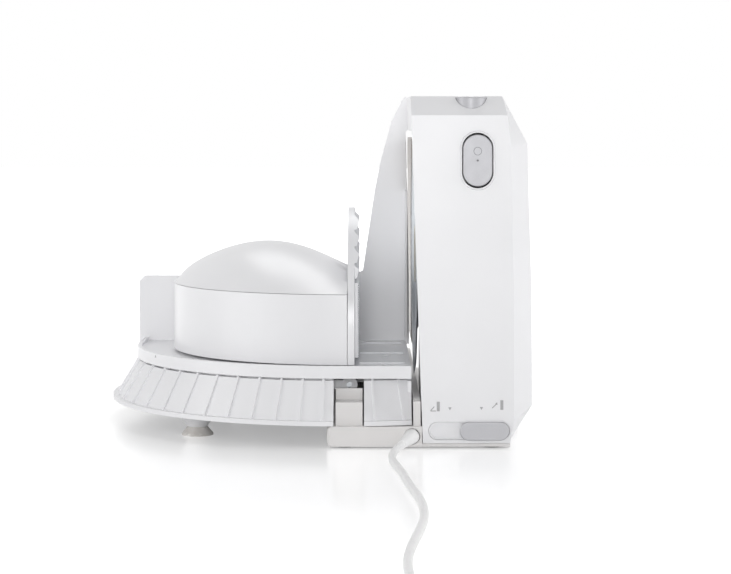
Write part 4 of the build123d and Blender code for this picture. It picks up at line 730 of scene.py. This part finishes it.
class SLICER_OT_controls(bpy.types.Operator):
    """Switch, lock button, fold latch, thickness dial, and the stop plate that it moves"""

    bl_idname = "slicer.controls"
    bl_label = "Controls"

    def execute(self, context):
        moulded_from("switch_bezel", "switch_frame", round_mm=0.25, material="light_trim")
        # A dark line of painted shadow round the switch's trim.
        shadow_line("switch_bezel", "switch_painted_shadow_gap", wide_mm=0.35)
        moulded_from("switch_rocker", "switch_cap", round_mm=0.8)
        moulded_from("lock_button", "lock_button_cap", round_mm=0.4)
        moulded_from("latch_slider", "latch_knob", round_mm=0.9)
        moulded_from("slider_bezel", "latch_slot", round_mm=0.2)
        moulded_from("thickness_knob", "thickness_dial_cap", round_mm=0.3)
        # The stop plate gets painted shade: a dark brown-grey finish with little metal.
        moulded_from("stop_plate", "stop_plate_sheet", round_mm=0.15, material="plate_metal_painted_shade")
        moulded_from("stop_plate_carrier", "stop_plate_slide", round_mm=0.2)
        return {"FINISHED"}


# Printed marks


def front_place(across, height):
    """Point on the tower's front face, in mm right of the blade plane and up from the floor."""
    return (BLADE_X + across * MM, FRONT_Y, height * MM)


def printed_bar(across, height, width, tall, turn, depth):
    """Flat printed bar on the tower's face, in mm."""
    bpy.ops.object.select_all(action="DESELECT")
    bpy.ops.mesh.primitive_cube_add(
        size=1, location=front_place(across, height), rotation=(0, turn, 0)
    )
    bar = start("bar")
    bar.scale = (width * MM, 2 * depth * MM, tall * MM)
    bpy.ops.object.transform_apply(location=False, rotation=False, scale=True)
    apply_modifier(bar, "BEVEL", width=PRINT_EDGE_MM * MM, segments=2, limit_method="ANGLE")
    return bar


def printed_triangle(across, height, radius, turn, depth):
    """Flat printed triangle on the tower's face, in mm, pointing up when unturned."""
    bpy.ops.object.select_all(action="DESELECT")
    bpy.ops.mesh.primitive_cylinder_add(
        vertices=3, radius=radius * MM, depth=2 * depth * MM,
        location=front_place(across, height), rotation=(pi / 2, turn, 0),
    )
    mark = start("mark")
    apply_modifier(mark, "BEVEL", width=PRINT_EDGE_MM * MM, segments=2, limit_method="ANGLE")
    return mark


def joined(name, pieces):
    """Several pieces as one mesh."""
    only(pieces[0])
    for piece in pieces[1:]:
        piece.select_set(True)
    bpy.ops.object.join()
    return start(name)


def resting_place(node, across, height):
    """Point in metres where a line along +Y meets a CAD node, and the turn that lies flat there."""
    mesh = frame["nodes"][node].data
    corners = [corner.co for corner in mesh.vertices]
    skin = BVHTree.FromPolygons(corners, [face.vertices for face in mesh.polygons])
    before = Vector((across, CAD_BOX[0].y - 1, height))
    place, normal, _, _ = skin.ray_cast(before, Vector((0, 1, 0)))
    if place is None:
        raise ValueError("no surface of " + node + " there")
    return place, normal.to_track_quat("Z", "Y").to_euler()


def flat_mark(name, node, across, height, radius, corners, depth):
    """Printed polygon that lies on a CAD node, pointing up when it has three corners."""
    place, turn = resting_place(node, across, height)
    bpy.ops.object.select_all(action="DESELECT")
    bpy.ops.mesh.primitive_cylinder_add(
        vertices=corners, radius=radius * MM, depth=2 * depth * MM, location=place, rotation=turn
    )
    return start(name)


def flat_ring(name, node, across, height, radius, band):
    """Printed ring that lies on a CAD node, half as high as its band is wide."""
    place, turn = resting_place(node, across, height)
    bpy.ops.object.select_all(action="DESELECT")
    bpy.ops.mesh.primitive_torus_add(
        location=place, rotation=turn, major_radius=radius * MM, minor_radius=band / 2 * MM,
        major_segments=48, minor_segments=8,
    )
    ring = start(name)
    ring.scale = (1, 1, 0.5)
    return ring


class SLICER_OT_marks(bpy.types.Operator):
    """Printed marks on the switch, on the carriage's front lip and beside the latch"""

    bl_idname = "slicer.marks"
    bl_label = "Printed marks"

    def execute(self, context):
        depth = context.scene.slicer_sizes.ink_height
        low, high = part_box("switch_rocker")
        middle = (low.x + high.x) / 2
        ring_z, dash_z = (low.z + share * (high.z - low.z) for share in (RING_UP, DASH_UP))
        switch = [
            flat_ring("ring", "switch_rocker", middle, ring_z, radius=2.6, band=0.3),
            flat_mark("dash", "switch_rocker", middle, dash_z, radius=0.7, corners=16, depth=depth),
        ]
        settle(joined("switch_marks", switch), "grey_plastic", "switch", "gasket", smooth=0)
        lip = flat_mark("lip_mark", "food_carriage", *LIP_MARK, radius=1.3, corners=3, depth=depth)
        settle(lip, "grey_plastic", "carriage", "ink", smooth=0)
        latch = [
            printed_bar(12.5, 28.0, width=2.0, tall=6.4, turn=0, depth=depth),
            printed_bar(9.2, 25.0, width=3.6, tall=0.6, turn=0, depth=depth),
            printed_bar(8.6, 26.5, width=3.8, tall=0.6, turn=-0.85, depth=depth),
            printed_triangle(20.3, 26.8, radius=1.3, turn=pi, depth=depth),
            printed_triangle(41.3, 27.0, radius=1.3, turn=pi, depth=depth),
            printed_bar(54.9, 29.0, width=2.0, tall=6.4, turn=0, depth=depth),
            printed_bar(50.0, 28.4, width=4.2, tall=0.6, turn=-0.75, depth=depth),
            printed_triangle(51.4, 29.9, radius=1.0, turn=2.4, depth=depth),
        ]
        settle(joined("latch_marks", latch), "grey_plastic", "base", "ink", smooth=0)
        return {"FINISHED"}


# Cord


def relief_tip():
    """Point where the cord leaves its strain relief."""
    leave = Vector(CORD_EXIT)
    return leave + (Vector(CORD_BENDS[0]) - leave).normalized() * RELIEF_LENGTH


def coil_points(
    radius=0.031, forward=0.005, pitch=0.0056, inward=2.25, outward=2.0, climb=0.5, per_turn=16
):
    """Points of the flat coil of two layers, wound so many turns inward below and outward above.
    Its middle lies forward of the last bend, and it climbs within part of a turn."""
    first = Vector(CORD_BENDS[-1])
    middle = first + Vector((-radius, -forward, 0))
    points = []
    for step in range(1, round((inward + outward) * per_turn) + 1):
        turn = step / per_turn
        reach = radius - pitch * (inward - abs(turn - inward))
        share = min(max((turn - inward + climb / 2) / climb, 0), 1)
        height = first.z + pitch * share * share * (3 - 2 * share)
        points.append((
            middle.x + reach * cos(2 * pi * turn), middle.y - reach * sin(2 * pi * turn), height,
        ))
    return points


class SLICER_OT_cord(bpy.types.Operator):
    """Mains cord from its strain relief through the coil to the plug"""

    bl_idname = "slicer.cord"
    bl_label = "Cord"

    def execute(self, context):
        diameter = context.scene.slicer_sizes.cord
        tip = relief_tip()
        route = [tuple(tip)] + CORD_BENDS + coil_points()
        end = Vector(route[-1])
        for step in TAIL_STEPS:
            end = end + Vector(step)
            route.append(tuple(end))
        curve = bpy.data.curves.new("mains_cord", "CURVE")
        curve.dimensions = "3D"
        line = curve.splines.new("NURBS")
        line.points.add(len(route) - 1)
        for point, place in zip(line.points, route):
            point.co = (*place, 1)
        line.use_endpoint_u = True
        line.order_u = 3
        line.resolution_u = 6
        curve.bevel_depth = diameter / 2
        curve.bevel_resolution = 5
        curve.use_fill_caps = True
        cord = bpy.data.objects.new("mains_cord", curve)
        context.scene.collection.objects.link(cord)
        curve.materials.append(FINISHES["white_cord"])
        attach(cord, "base")
        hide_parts("cord_tube", "cord_coil", "cord_tail")
        return {"FINISHED"}


# CAD nodes


class SLICER_OT_frame_finishes(bpy.types.Operator):
    """Gives every CAD node its finish; the switch module's lighter grey is painted light"""

    bl_idname = "slicer.frame_finishes"
    bl_label = "Finishes"

    def execute(self, context):
        for node, piece in frame["nodes"].items():
            piece.data.materials.clear()
            piece.data.materials.append(FINISHES[PAINTED_LIGHT_FINISHES.get(node, finish_for(node))])
        return {"FINISHED"}


# Sidebar


class SLICER_PT_sidebar(bpy.types.Panel):
    """Lists the slicer's colours, sizes and pieces in the sidebar"""

    bl_idname = "SLICER_PT_sidebar"
    bl_label = "Food slicer"
    bl_space_type = "VIEW_3D"
    bl_region_type = "UI"
    bl_category = "Slicer"

    def draw(self, context):
        column = self.layout.column()
        for group in (context.scene.slicer_colours, context.scene.slicer_sizes):
            for name in group.__annotations__:
                column.prop(group, name)
        for operator in PIECES:
            column.operator(operator.bl_idname)


PIECES = [
    SLICER_OT_frame_finishes,
    SLICER_OT_stage,
    SLICER_OT_cord,
    SLICER_OT_tower,
    SLICER_OT_table,
    SLICER_OT_carriage,
    SLICER_OT_holder,
    SLICER_OT_controls,
    SLICER_OT_marks,
]
CLASSES = [SlicerColours, SlicerSizes, *PIECES, SLICER_PT_sidebar]


def register():
    for kind in CLASSES:
        bpy.utils.register_class(kind)
    bpy.types.Scene.slicer_colours = bpy.props.PointerProperty(type=SlicerColours)
    bpy.types.Scene.slicer_sizes = bpy.props.PointerProperty(type=SlicerSizes)


def unregister():
    del bpy.types.Scene.slicer_sizes
    del bpy.types.Scene.slicer_colours
    for kind in reversed(CLASSES):
        bpy.utils.unregister_class(kind)


def main():
    register()
    make_finishes(bpy.context.scene.slicer_colours)
    for operator in PIECES:
        group, name = operator.bl_idname.split(".")
        getattr(getattr(bpy.ops, group), name)()


if __name__ == "__main__":
    main()
